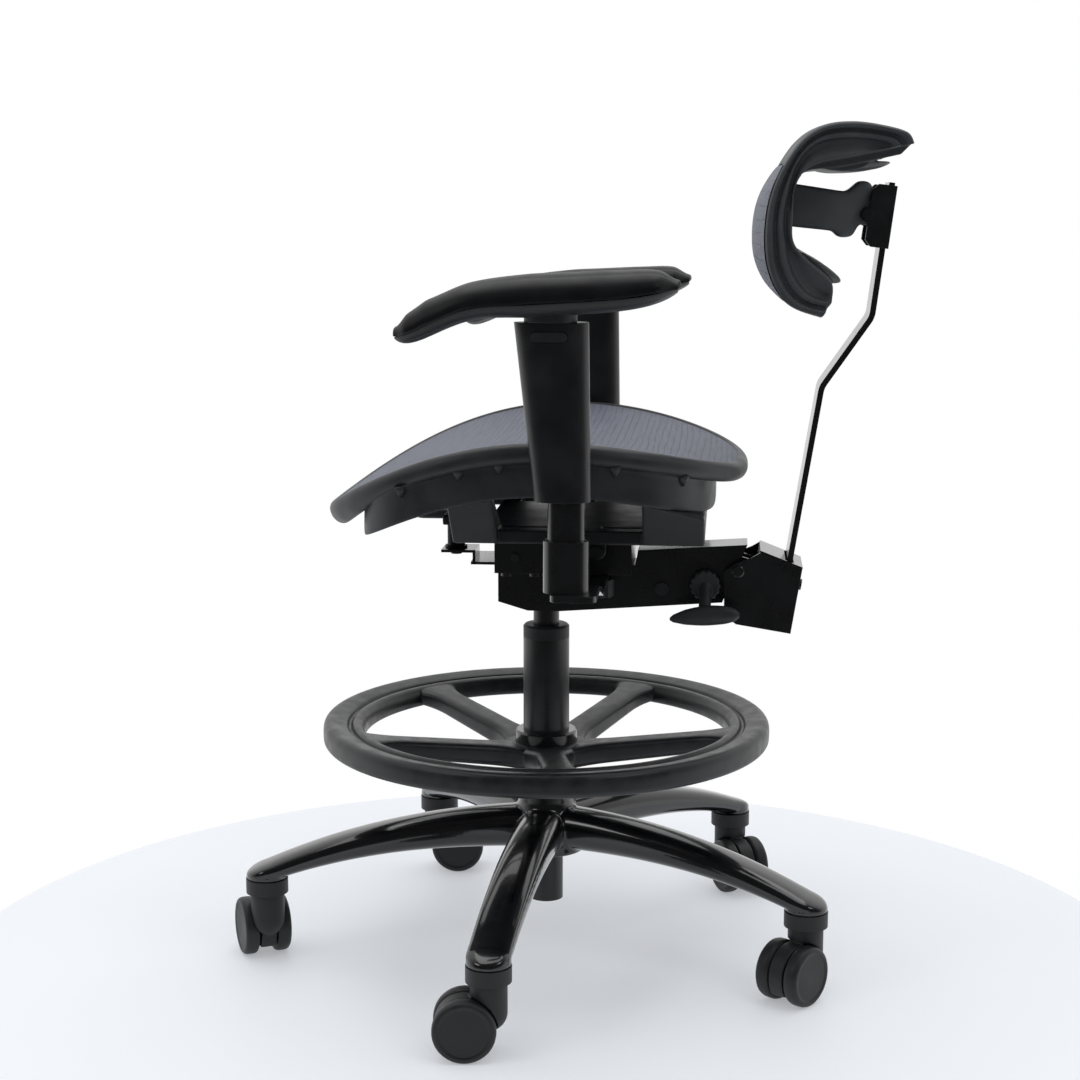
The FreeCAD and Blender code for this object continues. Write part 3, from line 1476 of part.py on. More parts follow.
# The sitter's right arm is set lower on its post, as it stands in use
for make in (arm_sleeve, arm_button, arm_pad_base, arm_pad):
    left = node(make())
    right = left.Name.replace("_left", "_right")
    copy = group(right, [mirrored(right + "_form", left)])
    bind(copy, "Placement.Base.z", "-right_arm_drop")
    doc.recompute([copy])
    node(copy)


# Back support

def bar_point(back, up):
    """A point given behind and above the bar's seat, along the lower bar."""
    return ("bar_seat_y + (%s) * cos(bar_lean) + (%s) * sin(bar_lean)" % (back, up),
            "bar_seat_z - (%s) * sin(bar_lean) + (%s) * cos(bar_lean)" % (back, up))


def lock_slot():
    """The curved slot round the back pivot that the lock screw passes through."""
    start = Vector(-value("tongue_half"), value("back_pivot_y"), value("back_pivot_z"))
    toward = Vector(0, -value("lock_ahead"), -value("lock_below"))
    half = value("lock_screw / 2 + slide_gap")
    swing = value("lock_swing")
    length = value("2 * tongue_half")
    reach = toward / toward.Length
    first = Rotation(X_AXIS, -swing).multVec(reach)
    edge = Part.makeLine(start + first * (toward.Length - half), start + first * (toward.Length + half))
    pieces = [edge.revolve(start, X_AXIS, 2 * swing).extrude(X_AXIS * length)]
    for turn in (-swing, swing):
        middle = start + Rotation(X_AXIS, turn).multVec(toward)
        pieces.append(Part.makeCylinder(half, length, middle, X_AXIS))
    return pieces[0].multiFuse(pieces[1:])


screw_level = "-box_depth / 3"


def bar_screw_run(label, radius, back):
    """A cylinder square to the bar, from its rear face out to a distance behind it."""
    start = bar_point("bar_room", screw_level)
    lean = math.radians(value("bar_lean"))
    outward = Vector(0, math.cos(lean), -math.sin(lean))
    return rod(label, radius, "(%s) - (bar_room)" % back, ("0",) + start, outward)


def back_bracket():
    """A box behind the housing with two tongue plates that reach into the housing."""
    body = extruded("bracket_box", "YZ_Plane", [
        bar_point("-box_top_front", "box_crown"),
        bar_point("box_rear", "0"),
        bar_point("box_rear", "-box_depth"),
        bar_point("-box_low_front", "-box_depth"),
    ], "-box_width / 2", "box_width")
    room = new_sketch(body, "box_room", "YZ_Plane", "box_wall - box_width / 2")
    lean_in = "(box_low_front - box_top_front) / (box_depth + box_crown)"
    polygon(room, [
        bar_point("box_wall + box_wall * (%s) - box_top_front" % lean_in, "box_crown + box_wall"),
        bar_point("box_rear - box_wall", "box_crown + box_wall"),
        bar_point("box_rear - box_wall", "-box_depth - box_wall"),
        bar_point("box_wall - box_wall * (%s) - box_low_front" % lean_in, "-box_depth - box_wall"),
    ])
    pocket(body, room, "box_width - 2 * box_wall", "box_hollow")
    web_middle = "box_wall / 2 - (box_top_front + box_low_front) / 2"
    for start in ("-tongue_half", "tongue_half - tongue_plate"):
        tongue = new_sketch(body, "tongue_outline", "YZ_Plane", start)
        polygon(tongue, [
            ("lock_y - tongue_lead", "lock_z + tongue_half_height"),
            ("back_pivot_y", "back_pivot_z + tongue_half_height"),
            bar_point("box_wall / 2 - box_top_front", "-back_bolt / 2"),
            bar_point(web_middle, "-box_depth / 2"),
            ("back_pivot_y", "back_pivot_z - 2 * tongue_half_height"),
            ("lock_y - tongue_lead", "lock_z - tongue_half_height"),
        ])
        pad(body, tongue, "tongue_plate", "tongue")
    drill(body, "pivot_bore", "YZ_Plane", ("back_pivot_y", "back_pivot_z"), "back_bolt / 2 + fit_gap",
          "-tongue_half", "2 * tongue_half")
    slot_form = solid_form("lock_slot", lock_slot())
    screw_hole = bar_screw_run("box_screw_hole", "small_shank / 2", "box_rear + box_wall")
    return cut("back_bracket", body, [slot_form, screw_hole])


node(back_bracket())


def bar_guide():
    inner = "box_rear - box_wall"
    body = extruded("guide_form", "YZ_Plane", [
        bar_point("-guide_front", "-guide_inset"),
        bar_point(inner, "-guide_inset"),
        bar_point(inner, "guide_inset - box_depth"),
        bar_point("-guide_front", "guide_inset - box_depth"),
    ], "box_wall - box_width / 2", "box_width - 2 * box_wall")
    slot_sketch = new_sketch(body, "bar_slot", "YZ_Plane", "-bar_width / 2 - bar_gap")
    polygon(slot_sketch, [
        bar_point("-(bar_room)", "0"),
        bar_point("bar_room", "0"),
        bar_point("bar_room", "-box_depth"),
        bar_point("-(bar_room)", "-box_depth"),
    ])
    pocket(body, slot_sketch, "bar_width + 2 * bar_gap", "bar_slot_cut")
    return cut("bar_guide", body, [bar_screw_run("guide_screw_hole", "small_shank / 2", "box_rear")])


node(bar_guide())


def bar_screw():
    """The set screw through the box's rear wall and the guide, up to the bar."""
    shank = bar_screw_run("bar_screw_shank", "small_shank / 2", "box_rear + bolt_head_height")
    grip = bar_screw_run("bar_screw_grip", "small_head / 2", "box_rear + bolt_head_height")
    room = bar_screw_run("bar_screw_room", "small_head", "box_rear")
    return fuse("bar_screw", [shank, cut("bar_screw_head", grip, [room])])


node(bar_screw())


def clamp_screw():
    half = "housing_width / 2 + slide_gap"
    shaft = rod("clamp_shaft", "lock_screw / 2", "housing_width + 2 * slide_gap + knob_boss_length / 2",
                ("-(%s)" % half, "lock_y", "lock_z"), X_AXIS)
    nut = rod("clamp_nut", "bolt_head / 2", "bolt_head_height",
              ("-(%s)" % half, "lock_y", "lock_z"), -X_AXIS)
    return fuse("clamp_screw", [shaft, nut])


node(clamp_screw())


def wing_knob():
    """A round boss with a stem that droops to a round-ended wing."""
    base = ("housing_width / 2 + slide_gap", "lock_y", "lock_z")
    boss = rod("knob_boss", "knob_boss / 2", "knob_boss_length", base, X_AXIS)
    fall = Vector(value("knob_stand - knob_boss_length / 2"), 0, -value("knob_drop"))
    start = ("housing_width / 2 + slide_gap + knob_boss_length / 2", "lock_y", "lock_z")
    stem_length = "sqrt((knob_stand - knob_boss_length / 2)^2 + knob_drop^2)"
    stem_form = rod("wing_stem", "wing_stem / 2", stem_length, start, fall)
    middle = Vector(value("housing_width / 2 + slide_gap + knob_stand"), value("lock_y"),
                    value("lock_z - knob_drop"))
    end = middle - Y_AXIS * value("wing_length / 2")
    bar = Part.makeCylinder(value("wing_height / 2"), value("wing_length"), end, Y_AXIS)
    rims = [edge for edge in bar.Edges if is_circle(edge, "wing_height / 2")]
    wing = solid_form("wing", bar.makeFillet(value("wing_round"), rims))
    hole = rod("knob_hole", "lock_screw / 2", "knob_boss_length / 2", base, X_AXIS)
    behind = rod("knob_behind", "wing_length", "housing_width", base, -X_AXIS)
    return cut("wing_knob", fuse("knob_solid", [boss, stem_form, wing]), [hole, behind])


node(wing_knob())


def on_bar(back, up):
    formulas = bar_point(back, up)
    return Vector(0, value(formulas[0]), value(formulas[1]))


TOP_LEAN = math.radians(value("bar_top_lean"))
UP_BAR = Vector(0, math.sin(TOP_LEAN), math.cos(TOP_LEAN))
BEHIND_BAR = Vector(0, math.cos(TOP_LEAN), -math.sin(TOP_LEAN))
LOW_BEND = on_bar("0", "bar_rise")
HIGH_BEND = LOW_BEND + Vector(0, value("jog_back"), value("jog_up"))


def back_bar():
    """A flat bar bent twice, with rounded bends."""
    points = [on_bar("0", "-bar_tail"), LOW_BEND, HIGH_BEND, HIGH_BEND + UP_BAR * value("bar_top_rise")]
    half = value("bar_thickness / 2")
    runs = [(after - before).normalize() for before, after in zip(points, points[1:])]
    normals = [Vector(0, run.z, -run.y) for run in runs]
    joints = list(zip(normals[:1] + normals, normals + normals[-1:]))
    shifts = [(before + after) * (half / (1 + before.dot(after))) for before, after in joints]
    rear = [point + shift for point, shift in zip(points, shifts)]
    front = [point - shift for point, shift in zip(points, shifts)]
    bar = slab(rear + front[::-1], value("bar_width"))
    for index in (1, 2):
        bends_back = normals[index - 1].cross(normals[index]).x < 0
        for corner, on_rear in ((rear[index], True), (front[index], False)):
            outside = on_rear != bends_back
            radius = value("bar_bend") + (half if outside else -half)
            edges = [edge for edge in bar.Edges
                     if along(edge, X_AXIS) and (edge.CenterOfMass - corner).Length < 0.1]
            bar = bar.makeFillet(radius, edges)
    return solid_form("back_bar", bar)


node(back_bar())


def on_slider(back, up):
    """A point behind and above the slider's middle, along the upper bar."""
    return HIGH_BEND + UP_BAR * (value("slider_rise") + up) + BEHIND_BAR * back


PIN_POINT = on_slider(-value("back_pin_stand"), 0)


def about_pin(radius, half_width):
    """A cylinder across the chair on the back arm's pin."""
    return Part.makeCylinder(radius, 2 * half_width, PIN_POINT - X_AXIS * half_width, X_AXIS)


def back_slider():
    """A block that rides on the bar, with a knuckle and two cheeks in front for the back arm."""
    rear = value("slider_rear")
    half = value("slider_half_height")
    bevel = value("slider_bevel")

    def block_slab(front, width):
        return slab([on_slider(-front, half - bevel), on_slider(bevel - front, half), on_slider(rear, half),
                     on_slider(rear, -half), on_slider(bevel - front, -half),
                     on_slider(-front, bevel - half)], width)

    outside = value("slider_width")
    inside = value("back_arm_width + 2 * slide_gap")
    cheek_front = value("cheek_front")
    nose = value("cheek_nose")
    cheek_solid = block_slab(cheek_front, outside).fuse(about_pin(nose, outside / 2))
    cheeks = cheek_solid.cut(block_slab(2 * cheek_front, inside)).cut(about_pin(nose, inside / 2))
    main = block_slab(value("slider_front"), outside).fuse(cheeks)
    stand = -value("back_pin_stand")
    radius = value("knuckle_radius")
    width = value("knuckle_width")
    neck_form = slab([on_slider(stand, radius), on_slider(0, radius), on_slider(0, -radius),
                      on_slider(stand, -radius)], width)
    room = value("bar_room")
    bar_space = slab([on_slider(-room, 2 * half), on_slider(room, 2 * half), on_slider(room, -2 * half),
                      on_slider(-room, -2 * half)], value("bar_width + 2 * bar_gap"))
    block = main.multiFuse([neck_form, about_pin(radius, width / 2)]).removeSplitter()
    return solid_form("back_slider", block.cut(bar_space).cut(about_pin(value("back_pin / 2"), width)))


node(back_slider())
node(cross_pin("back_arm_pin", "slider_width / 2 + slide_gap", "back_pin / 2", "back_pin_head / 2",
               (str(PIN_POINT.y), str(PIN_POINT.z))))

# Outlines in the side view, measured back and up from the back arm's pin
ARM_TOP = ((-21.0, 23.0), (-8.0, 34.5), (2.0, 33.5), (6.0, 26.0))
ARM_LOW = ((-2.0, 2.0), (-15.0, -23.0), (-29.0, -24.0), (-34.0, -17.0))
ARM_FRONT_HIGH = 32.5
ARM_FRONT_LOW = -12.0
FRAME_OUTER = ((133.0, 71.0), (126.0, 82.0), (102.0, 89.0), (74.0, 92.5), (50.0, 89.0), (31.0, 75.0),
               (15.0, 51.0), (5.5, 30.0), (0.0, 8.0), (-2.0, -18.0), (0.0, -43.0),
               (7.5, -65.0), (18.0, -81.0), (31.0, -90.0), (51.0, -97.0))
FRAME_INNER = ((60.0, -81.0), (59.0, -61.0), (39.0, -41.0), (25.5, -23.0), (24.5, 3.0), (26.0, 29.0),
               (37.0, 45.0), (67.0, 49.0), (102.0, 57.0))
FRAME_FRONT = FRAME_OUTER[5:13]
SPINE_BACK = 24.5


def frame_point(x, y, z):
    """A point of the back pad's outline at x, its plan bowed forward in the middle."""
    share = x / value("frame_half_width")
    bow = value("frame_bow") * (1 - share * share)
    return PIN_POINT + Vector(x, y - value("frame_stand") - bow, z - value("frame_drop"))


def back_arm():
    """A moulded arm from the pad's spine to two lugs that straddle the slider's knuckle."""
    front = SPINE_BACK - value("frame_stand") - value("frame_bow")
    outline = [(front, ARM_FRONT_HIGH)] + list(ARM_TOP) + list(ARM_LOW) + [(front, ARM_FRONT_LOW)]
    arm = slab([PIN_POINT + Vector(0, y, z) for y, z in outline], value("back_arm_width"))
    radius = value("knuckle_radius")
    half = value("back_arm_width / 2")
    gap = value("slide_gap")
    room = about_pin(radius + gap, value("knuckle_width / 2") + gap)
    bore = about_pin(value("back_pin / 2 + fit_gap"), 2 * half)
    arm = arm.fuse(about_pin(radius, half)).removeSplitter().cut(room).cut(bore)
    return solid_form("back_arm", arm.cut(back_shell(gap)))


def bowed_loft(section, half_width):
    steps = (-1.0, -0.5, 0.0, 0.5, 1.0)
    return Part.makeLoft([section(half_width * step) for step in steps], True)


def back_shell(gap):
    """The pad's curved shell before its windows are cut, with its inner face moved back by gap."""
    def section(x):
        outer = [frame_point(x, y, z) for y, z in FRAME_OUTER]
        inner = [frame_point(x, y + gap, z) for y, z in FRAME_INNER]
        return Part.Wire([smooth_edge(outer), Part.makeLine(outer[-1], inner[0]),
                          smooth_edge(inner), Part.makeLine(inner[-1], outer[0])])
    return bowed_loft(section, value("frame_half_width"))


def back_frame():
    shell = back_shell(0)
    low = frame_point(0, 0, FRAME_FRONT[-1][1]).z + value("window_margin")
    high = frame_point(0, 0, FRAME_FRONT[0][1]).z - value("window_margin")
    front = frame_point(0, -SPINE_BACK, 0).y
    rear = frame_point(value("frame_half_width"), 2 * SPINE_BACK, 0).y
    inner = value("spine_width / 2")
    outer = value("frame_half_width - window_inset")
    for start in (inner, -outer):
        window = Part.makeBox(outer - inner, rear - front, high - low, Vector(start, front, low))
        shell = shell.cut(window)
    return solid_form("back_frame", shell)


node(back_arm())
node(back_frame())


def back_mesh():
    gap = value("back_mesh_gap")
    thickness = value("mesh_thickness")

    def section(x):
        rear = [frame_point(x, y - gap, z) for y, z in FRAME_FRONT]
        front = [point - Y_AXIS * thickness for point in rear]
        return Part.Wire([smooth_edge(front), Part.makeLine(front[-1], rear[-1]),
                          smooth_edge(rear), Part.makeLine(rear[0], front[0])])
    return solid_form("back_mesh", bowed_loft(section, value("frame_half_width - back_mesh_inset")))


node(back_mesh())


# Check everything, then write each node

doc.recompute()
failed = [item.Name for item in doc.Objects if "Invalid" in item.State or "Error" in item.State]
if failed:
    raise ValueError("failed objects: %s" % failed)
for item in NODES:
    if item.Shape.isNull() or not item.Shape.isValid() or not item.Shape.Solids:
        raise ValueError("bad shape: %s" % item.Label)
os.makedirs("parts", exist_ok=True)
for item in NODES:
    item.Shape.exportStep("parts/%s.step" % item.Label)
print(len(NODES), "nodes written")
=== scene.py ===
"""The studio chair dressed for the camera: mouldings, woven mesh, arm pads, finishes, stage and light."""

import json
import math

import bpy
import bmesh
from mathutils import Matrix, Vector


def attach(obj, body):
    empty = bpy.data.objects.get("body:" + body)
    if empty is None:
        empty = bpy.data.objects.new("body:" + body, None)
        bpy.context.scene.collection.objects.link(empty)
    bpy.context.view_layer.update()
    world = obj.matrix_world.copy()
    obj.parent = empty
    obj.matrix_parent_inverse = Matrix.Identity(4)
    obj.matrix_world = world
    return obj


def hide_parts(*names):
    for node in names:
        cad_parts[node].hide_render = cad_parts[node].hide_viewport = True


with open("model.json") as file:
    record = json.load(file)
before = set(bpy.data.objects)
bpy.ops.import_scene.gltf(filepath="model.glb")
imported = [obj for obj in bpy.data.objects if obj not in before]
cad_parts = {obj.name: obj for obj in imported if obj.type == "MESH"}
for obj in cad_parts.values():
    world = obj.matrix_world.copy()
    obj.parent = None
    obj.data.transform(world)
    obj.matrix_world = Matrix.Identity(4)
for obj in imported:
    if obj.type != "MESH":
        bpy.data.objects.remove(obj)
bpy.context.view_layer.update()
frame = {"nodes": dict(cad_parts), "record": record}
NODES = frame["nodes"]
BODIES = frame["record"]["behaviour"]["bodies"]
BODY_OF = {member: body for body, members in BODIES.items() for member in members}
MM = 0.001


# Small helpers

def linear(red, green, blue):
    """A screen colour of 0 to 255 as the linear colour that shaders take."""
    levels = [level / 255 for level in (red, green, blue)]
    return [level / 12.92 if level < 0.04045 else ((level + 0.055) / 1.055) ** 2.4 for level in levels] + [1]


def lerp(first, second, share):
    return first + (second - first) * share


def eased(low, high, value):
    """A smooth step from 0 at low to 1 at high."""
    share = max(0.0, min(1.0, (value - low) / (high - low)))
    return share * share * (3 - 2 * share)


def through(points, position):
    """The value at a position on a smooth curve through (position, value) points."""
    spots = [point[0] for point in points]
    index = max(i for i in range(len(points) - 1) if spots[i] <= position or i == 0)
    steps = [max(0, min(len(points) - 1, index + step)) for step in (-1, 0, 1, 2)]
    before, start, end, after = (points[step][1] for step in steps)
    share = (position - spots[index]) / (spots[index + 1] - spots[index])
    return (start + 0.5 * share * (end - before + share * (
        2 * before - 5 * start + 4 * end - after + share * (3 * (start - end) + after - before))))


def resampled(points, count):
    """Evenly numbered points on a smooth open curve through the given ones."""
    last = len(points) - 1
    axes = [[(index, point[axis]) for index, point in enumerate(points)] for axis in range(len(points[0]))]
    return [tuple(through(axis, last * step / (count - 1)) for axis in axes) for step in range(count)]


def rounded_loop(points, count):
    """A smooth closed curve through the points of a section."""
    return resampled(list(points) + [points[0]], count + 1)[:-1]


def power_of(value, exponent):
    return math.copysign(abs(value) ** exponent, value)


def oval(half_width, half_height, exponent, count):
    """Pairs round an oval whose corners fill out as the exponent falls below 1."""
    pairs = []
    for index in range(count):
        turn = 2 * math.pi * index / count
        pairs.append((half_width * power_of(math.cos(turn), exponent),
                      half_height * power_of(math.sin(turn), exponent)))
    return pairs


# Meshes

def ring_faces(rows, columns, closed_rows=False, closed_columns=False):
    """Quads between neighbouring rows of points."""
    faces = []
    for row in range(rows if closed_rows else rows - 1):
        for column in range(columns if closed_columns else columns - 1):
            after_row = (row + 1) % rows
            after_column = (column + 1) % columns
            faces.append((row * columns + column, row * columns + after_column,
                          after_row * columns + after_column, after_row * columns + column))
    return faces


def loft(rings):
    """A closed surface through rings of points, capped at both ends."""
    count = len(rings[0])
    last = (len(rings) - 1) * count
    faces = ring_faces(len(rings), count, False, True)
    faces.append(tuple(range(count)))
    faces.append(tuple(last + index for index in range(count)))
    return [point for ring in rings for point in ring], faces


def swept(rings):
    """A closed surface through rings that come back to the first one."""
    return [point for ring in rings for point in ring], ring_faces(len(rings), len(rings[0]), True, True)


def turned(section, steps=144):
    """A section of (radius, height) pairs turned about the Z axis."""
    rings = []
    for step in range(steps):
        angle = 2 * math.pi * step / steps
        rings.append([Vector((radius * math.cos(angle), radius * math.sin(angle), height))
                      for radius, height in section])
    return swept(rings)


def moved(shell, matrix):
    return [matrix @ point for point in shell[0]], shell[1]


def joined_mesh(name, shells):
    """One mesh in metres from shells in millimetres."""
    points = []
    faces = []
    for shell_points, shell_faces in shells:
        start = len(points)
        points += [point * MM for point in shell_points]
        faces += [tuple(start + index for index in face) for face in shell_faces]
    mesh = bpy.data.meshes.new(name)
    mesh.from_pydata(points, [], faces)
    mesh.validate()
    shape = bmesh.new()
    shape.from_mesh(mesh)
    bmesh.ops.recalc_face_normals(shape, faces=shape.faces)
    shape.to_mesh(mesh)
    shape.free()
    return mesh


def run_together(mesh, voxel, rounds):
    """The mesh's shells merged into one skin, with corners rounded and joins blended."""
    holder = bpy.data.objects.new("holder", mesh)
    bpy.context.scene.collection.objects.link(holder)
    remesh = holder.modifiers.new("remesh", "REMESH")
    remesh.mode = "VOXEL"
    remesh.voxel_size = voxel * MM
    smooth = holder.modifiers.new("smooth", "SMOOTH")
    smooth.factor = 0.5
    smooth.iterations = rounds
    result = bpy.data.meshes.new_from_object(holder.evaluated_get(bpy.context.evaluated_depsgraph_get()))
    bpy.data.objects.remove(holder)
    return result


def dressed(name, mesh, material, body, replaced=(), crisp=False):
    """An object that rides on a body and stands for CAD nodes, with its sharp edges kept if it is crisp."""
    for face in mesh.polygons:
        face.use_smooth = True
    if crisp:
        mesh.set_sharp_from_angle(angle=math.radians(30))
    piece = bpy.data.objects.new(name, mesh)
    bpy.context.scene.collection.objects.link(piece)
    mesh.materials.clear()
    mesh.materials.append(material)
    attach(piece, body)
    if replaced:
        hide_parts(*replaced)
    return piece


def moulding(name, shells, voxel, rounds, material, node):
    """Shells run together into the piece that stands for a CAD node."""
    mesh = run_together(joined_mesh(name, shells), voxel, rounds)
    return dressed(name, mesh, material, BODY_OF[node], [node])


def softened(node, voxel, rounds, material):
    """A copy of a CAD node with its corners rounded and its joins blended, standing for it."""
    mesh = NODES[node].data.copy()
    shape = bmesh.new()
    shape.from_mesh(mesh)
    bmesh.ops.remove_doubles(shape, verts=shape.verts, dist=0.01 * MM)
    shape.to_mesh(mesh)
    shape.free()
    return dressed("soft_" + node, run_together(mesh, voxel, rounds), material, BODY_OF[node], [node])


def set_metre_uv(piece, places):
    """A UV map in metres from one (u, v) for each point."""
    layer = piece.data.uv_layers.new(name="metres")
    for loop in piece.data.loops:
        layer.data[loop.index].uv = places[loop.vertex_index]


# Materials

def add_node(tree, kind, links=(), **settings):
    """A shader node with its sockets set, and its links as (socket, output) pairs."""
    node = tree.nodes.new(kind)
    for name, setting in settings.items():
        if hasattr(node, name):
            setattr(node, name, setting)
        else:
            node.inputs[name.replace("_", " ")].default_value = setting
    for socket, output in links:
        tree.links.new(node.inputs[socket], output)
    return node


def noise(tree, place, size, detail=3.0):
    """A noise whose lumps are about this size in metres."""
    node = add_node(tree, "ShaderNodeTexNoise", [("Vector", place)], Scale=1 / size, Detail=detail)
    return node.outputs["Fac"]


def spread(tree, source, low, high, start=0.3, end=0.7):
    """The source's values between start and end taken to low and high."""
    node = add_node(tree, "ShaderNodeMapRange", [("Value", source)])
    for name, setting in (("From Min", start), ("From Max", end), ("To Min", low), ("To Max", high)):
        node.inputs[name].default_value = setting
    return node.outputs["Result"]


def arithmetic(tree, operation, first, second):
    node = add_node(tree, "ShaderNodeMath", operation=operation)
    for socket, term in zip(node.inputs, (first, second)):
        if isinstance(term, (int, float)):
            socket.default_value = term
        else:
            tree.links.new(socket, term)
    return node.outputs[0]


def sine(tree, source):
    return arithmetic(tree, "SINE", source, 0)


def blended(tree, share, first, second):
    """A colour between two colours or outputs by a share."""
    node = add_node(tree, "ShaderNodeMix", [("Factor", share)], data_type="RGBA")
    for socket, colour in zip((node.inputs[6], node.inputs[7]), (first, second)):
        if isinstance(colour, list):
            socket.default_value = colour
        else:
            tree.links.new(socket, colour)
    return node.outputs[2]


def new_material(name):
    material = bpy.data.materials.new(name)
    material.use_nodes = True
    tree = material.node_tree
    return material, tree, tree.nodes["Principled BSDF"]


def finish(name, colour, rubbed, rough, grain, depth, edge=0.8 * MM, coat=0.0, coat_rough=0.1, metal=0.0,
           specular=0.5, patch=30 * MM):
    """A solid finish: patchy colour, uneven gloss, a fine grain, and rubbed edges if they have a radius."""
    material, tree, shader = new_material(name)
    place = add_node(tree, "ShaderNodeTexCoord").outputs["Object"]
    normal = add_node(tree, "ShaderNodeNewGeometry").outputs["Normal"]
    patches = noise(tree, place, patch)
    tone = blended(tree, spread(tree, patches, 0.0, 0.35), colour, rubbed)
    if edge:
        rounded = add_node(tree, "ShaderNodeBevel", samples=4, Radius=edge).outputs[0]
        alike = add_node(tree, "ShaderNodeVectorMath", [(0, rounded), (1, normal)], operation="DOT_PRODUCT")
        on_edge = spread(tree, alike.outputs["Value"], 1.0, 0.0, 0.80, 0.98)
        wear = arithmetic(tree, "MULTIPLY", on_edge, spread(tree, noise(tree, place, patch / 3), 0.1, 0.9))
        tone = blended(tree, wear, tone, rubbed)
        normal = rounded
    tree.links.new(shader.inputs["Base Color"], tone)
    tree.links.new(shader.inputs["Roughness"], spread(tree, patches, rough[0], rough[1]))
    bump = add_node(tree, "ShaderNodeBump", [("Height", noise(tree, place, grain, 2.0)), ("Normal", normal)],
                    Strength=1.0, Distance=depth)
    tree.links.new(shader.inputs["Normal"], bump.outputs[0])
    shader.inputs["Metallic"].default_value = metal
    shader.inputs["Coat Weight"].default_value = coat
    shader.inputs["Coat Roughness"].default_value = coat_rough
    shader.inputs["Specular IOR Level"].default_value = specular
    return material


def woven(name, thread, shadow, glint, pitch, lines_apart, line_share):
    """Stretched mesh: a fine weave with painted shade between its threads, and broken crinkle lines running
    across it, dented and darkened with painted shade.
    """
    material, tree, shader = new_material(name)
    place = add_node(tree, "ShaderNodeUVMap", uv_map="metres").outputs[0]
    apart = add_node(tree, "ShaderNodeSeparateXYZ", [("Vector", place)])
    across = arithmetic(tree, "MULTIPLY", apart.outputs["X"], 2 * math.pi / pitch)
    along = arithmetic(tree, "MULTIPLY", apart.outputs["Y"], 2 * math.pi / pitch)
    weave = arithmetic(tree, "MULTIPLY", sine(tree, across), sine(tree, along))
    weave = spread(tree, weave, 0.0, 1.0, -1.0, 1.0)
    squeezed = add_node(tree, "ShaderNodeMapping", [("Vector", place)], Scale=(0.16, 1.0, 1.0)).outputs[0]
    drift = arithmetic(tree, "MULTIPLY", noise(tree, squeezed, 30 * MM), 1.6 * lines_apart)
    drifted = arithmetic(tree, "ADD", apart.outputs["Y"], drift)
    rows = arithmetic(tree, "MULTIPLY", drifted, math.pi / lines_apart)
    ridge = arithmetic(tree, "ABSOLUTE", sine(tree, rows), 0)
    lines = spread(tree, ridge, 1.0, 0.0, 0.0, line_share)
    kept = spread(tree, noise(tree, squeezed, 7 * MM), 0.0, 1.0, 0.30, 0.52)
    broken = arithmetic(tree, "MULTIPLY", lines, kept)
    mottled = blended(tree, spread(tree, noise(tree, squeezed, 9 * MM), 0.0, 1.0), thread, glint)
    # Painted shade: the gaps of the weave and the crinkle lines take the shadow colour
    knit = blended(tree, spread(tree, weave, 0.45, 0.0, 0.0, 0.6), mottled, shadow)
    tree.links.new(shader.inputs["Base Color"], blended(tree, broken, knit, shadow))
    height = arithmetic(tree, "SUBTRACT", arithmetic(tree, "MULTIPLY", weave, 0.35), broken)
    bump = add_node(tree, "ShaderNodeBump", [("Height", height)], Strength=0.7, Distance=0.6 * MM)
    tree.links.new(shader.inputs["Normal"], bump.outputs[0])
    shader.inputs["Roughness"].default_value = 0.62
    shader.inputs["Sheen Weight"].default_value = 0.35
    shader.inputs["Sheen Roughness"].default_value = 0.45
    shader.inputs["Sheen Tint"].default_value = linear(198, 203, 220)
    return material


GLOSS = finish("gloss_black_metal", linear(7, 8, 10), linear(20, 21, 24), rough=(0.2, 0.26),
               grain=1.6 * MM, depth=0.004 * MM, edge=0, coat=0.8, coat_rough=0.07, specular=0.35)
COATED = finish("coated_black_steel", linear(9, 10, 12), linear(24, 26, 28), rough=(0.26, 0.3),
                grain=1.2 * MM, depth=0.008 * MM, coat=0.6, coat_rough=0.12, specular=0.4)
SATIN = finish("satin_black_metal", linear(12, 13, 16), linear(34, 36, 39), rough=(0.32, 0.42),
               grain=0.9 * MM, depth=0.015 * MM, coat=0.2, coat_rough=0.25, specular=0.45)
PLASTIC = finish("black_plastic", linear(21, 23, 26), linear(44, 47, 50), rough=(0.42, 0.56),
                 grain=0.7 * MM, depth=0.03 * MM, edge=1.0 * MM, specular=0.45)
# Painted light: a lighter copy of the black plastic, for the seat rim and the wing knob
SEAT_PLASTIC_LIT = finish("seat_black_plastic_lit", linear(28, 31, 34), linear(50, 53, 56), rough=(0.42, 0.54),
                      grain=0.7 * MM, depth=0.02 * MM, edge=0, specular=0.45)
# Painted light: a lighter copy of the black plastic, for the back moulding
BACK_PLASTIC_LIT = finish("back_black_plastic_lit", linear(48, 51, 54), linear(68, 71, 74), rough=(0.42, 0.54),
                      grain=0.7 * MM, depth=0.02 * MM, edge=0, specular=0.25)
# Painted light: a much lighter copy of the black plastic, for the back arm
ARM_PLASTIC_LIT = finish("arm_black_plastic_lit", linear(74, 78, 81), linear(92, 96, 99), rough=(0.4, 0.5),
                     grain=0.7 * MM, depth=0.02 * MM, edge=0, specular=0.4)
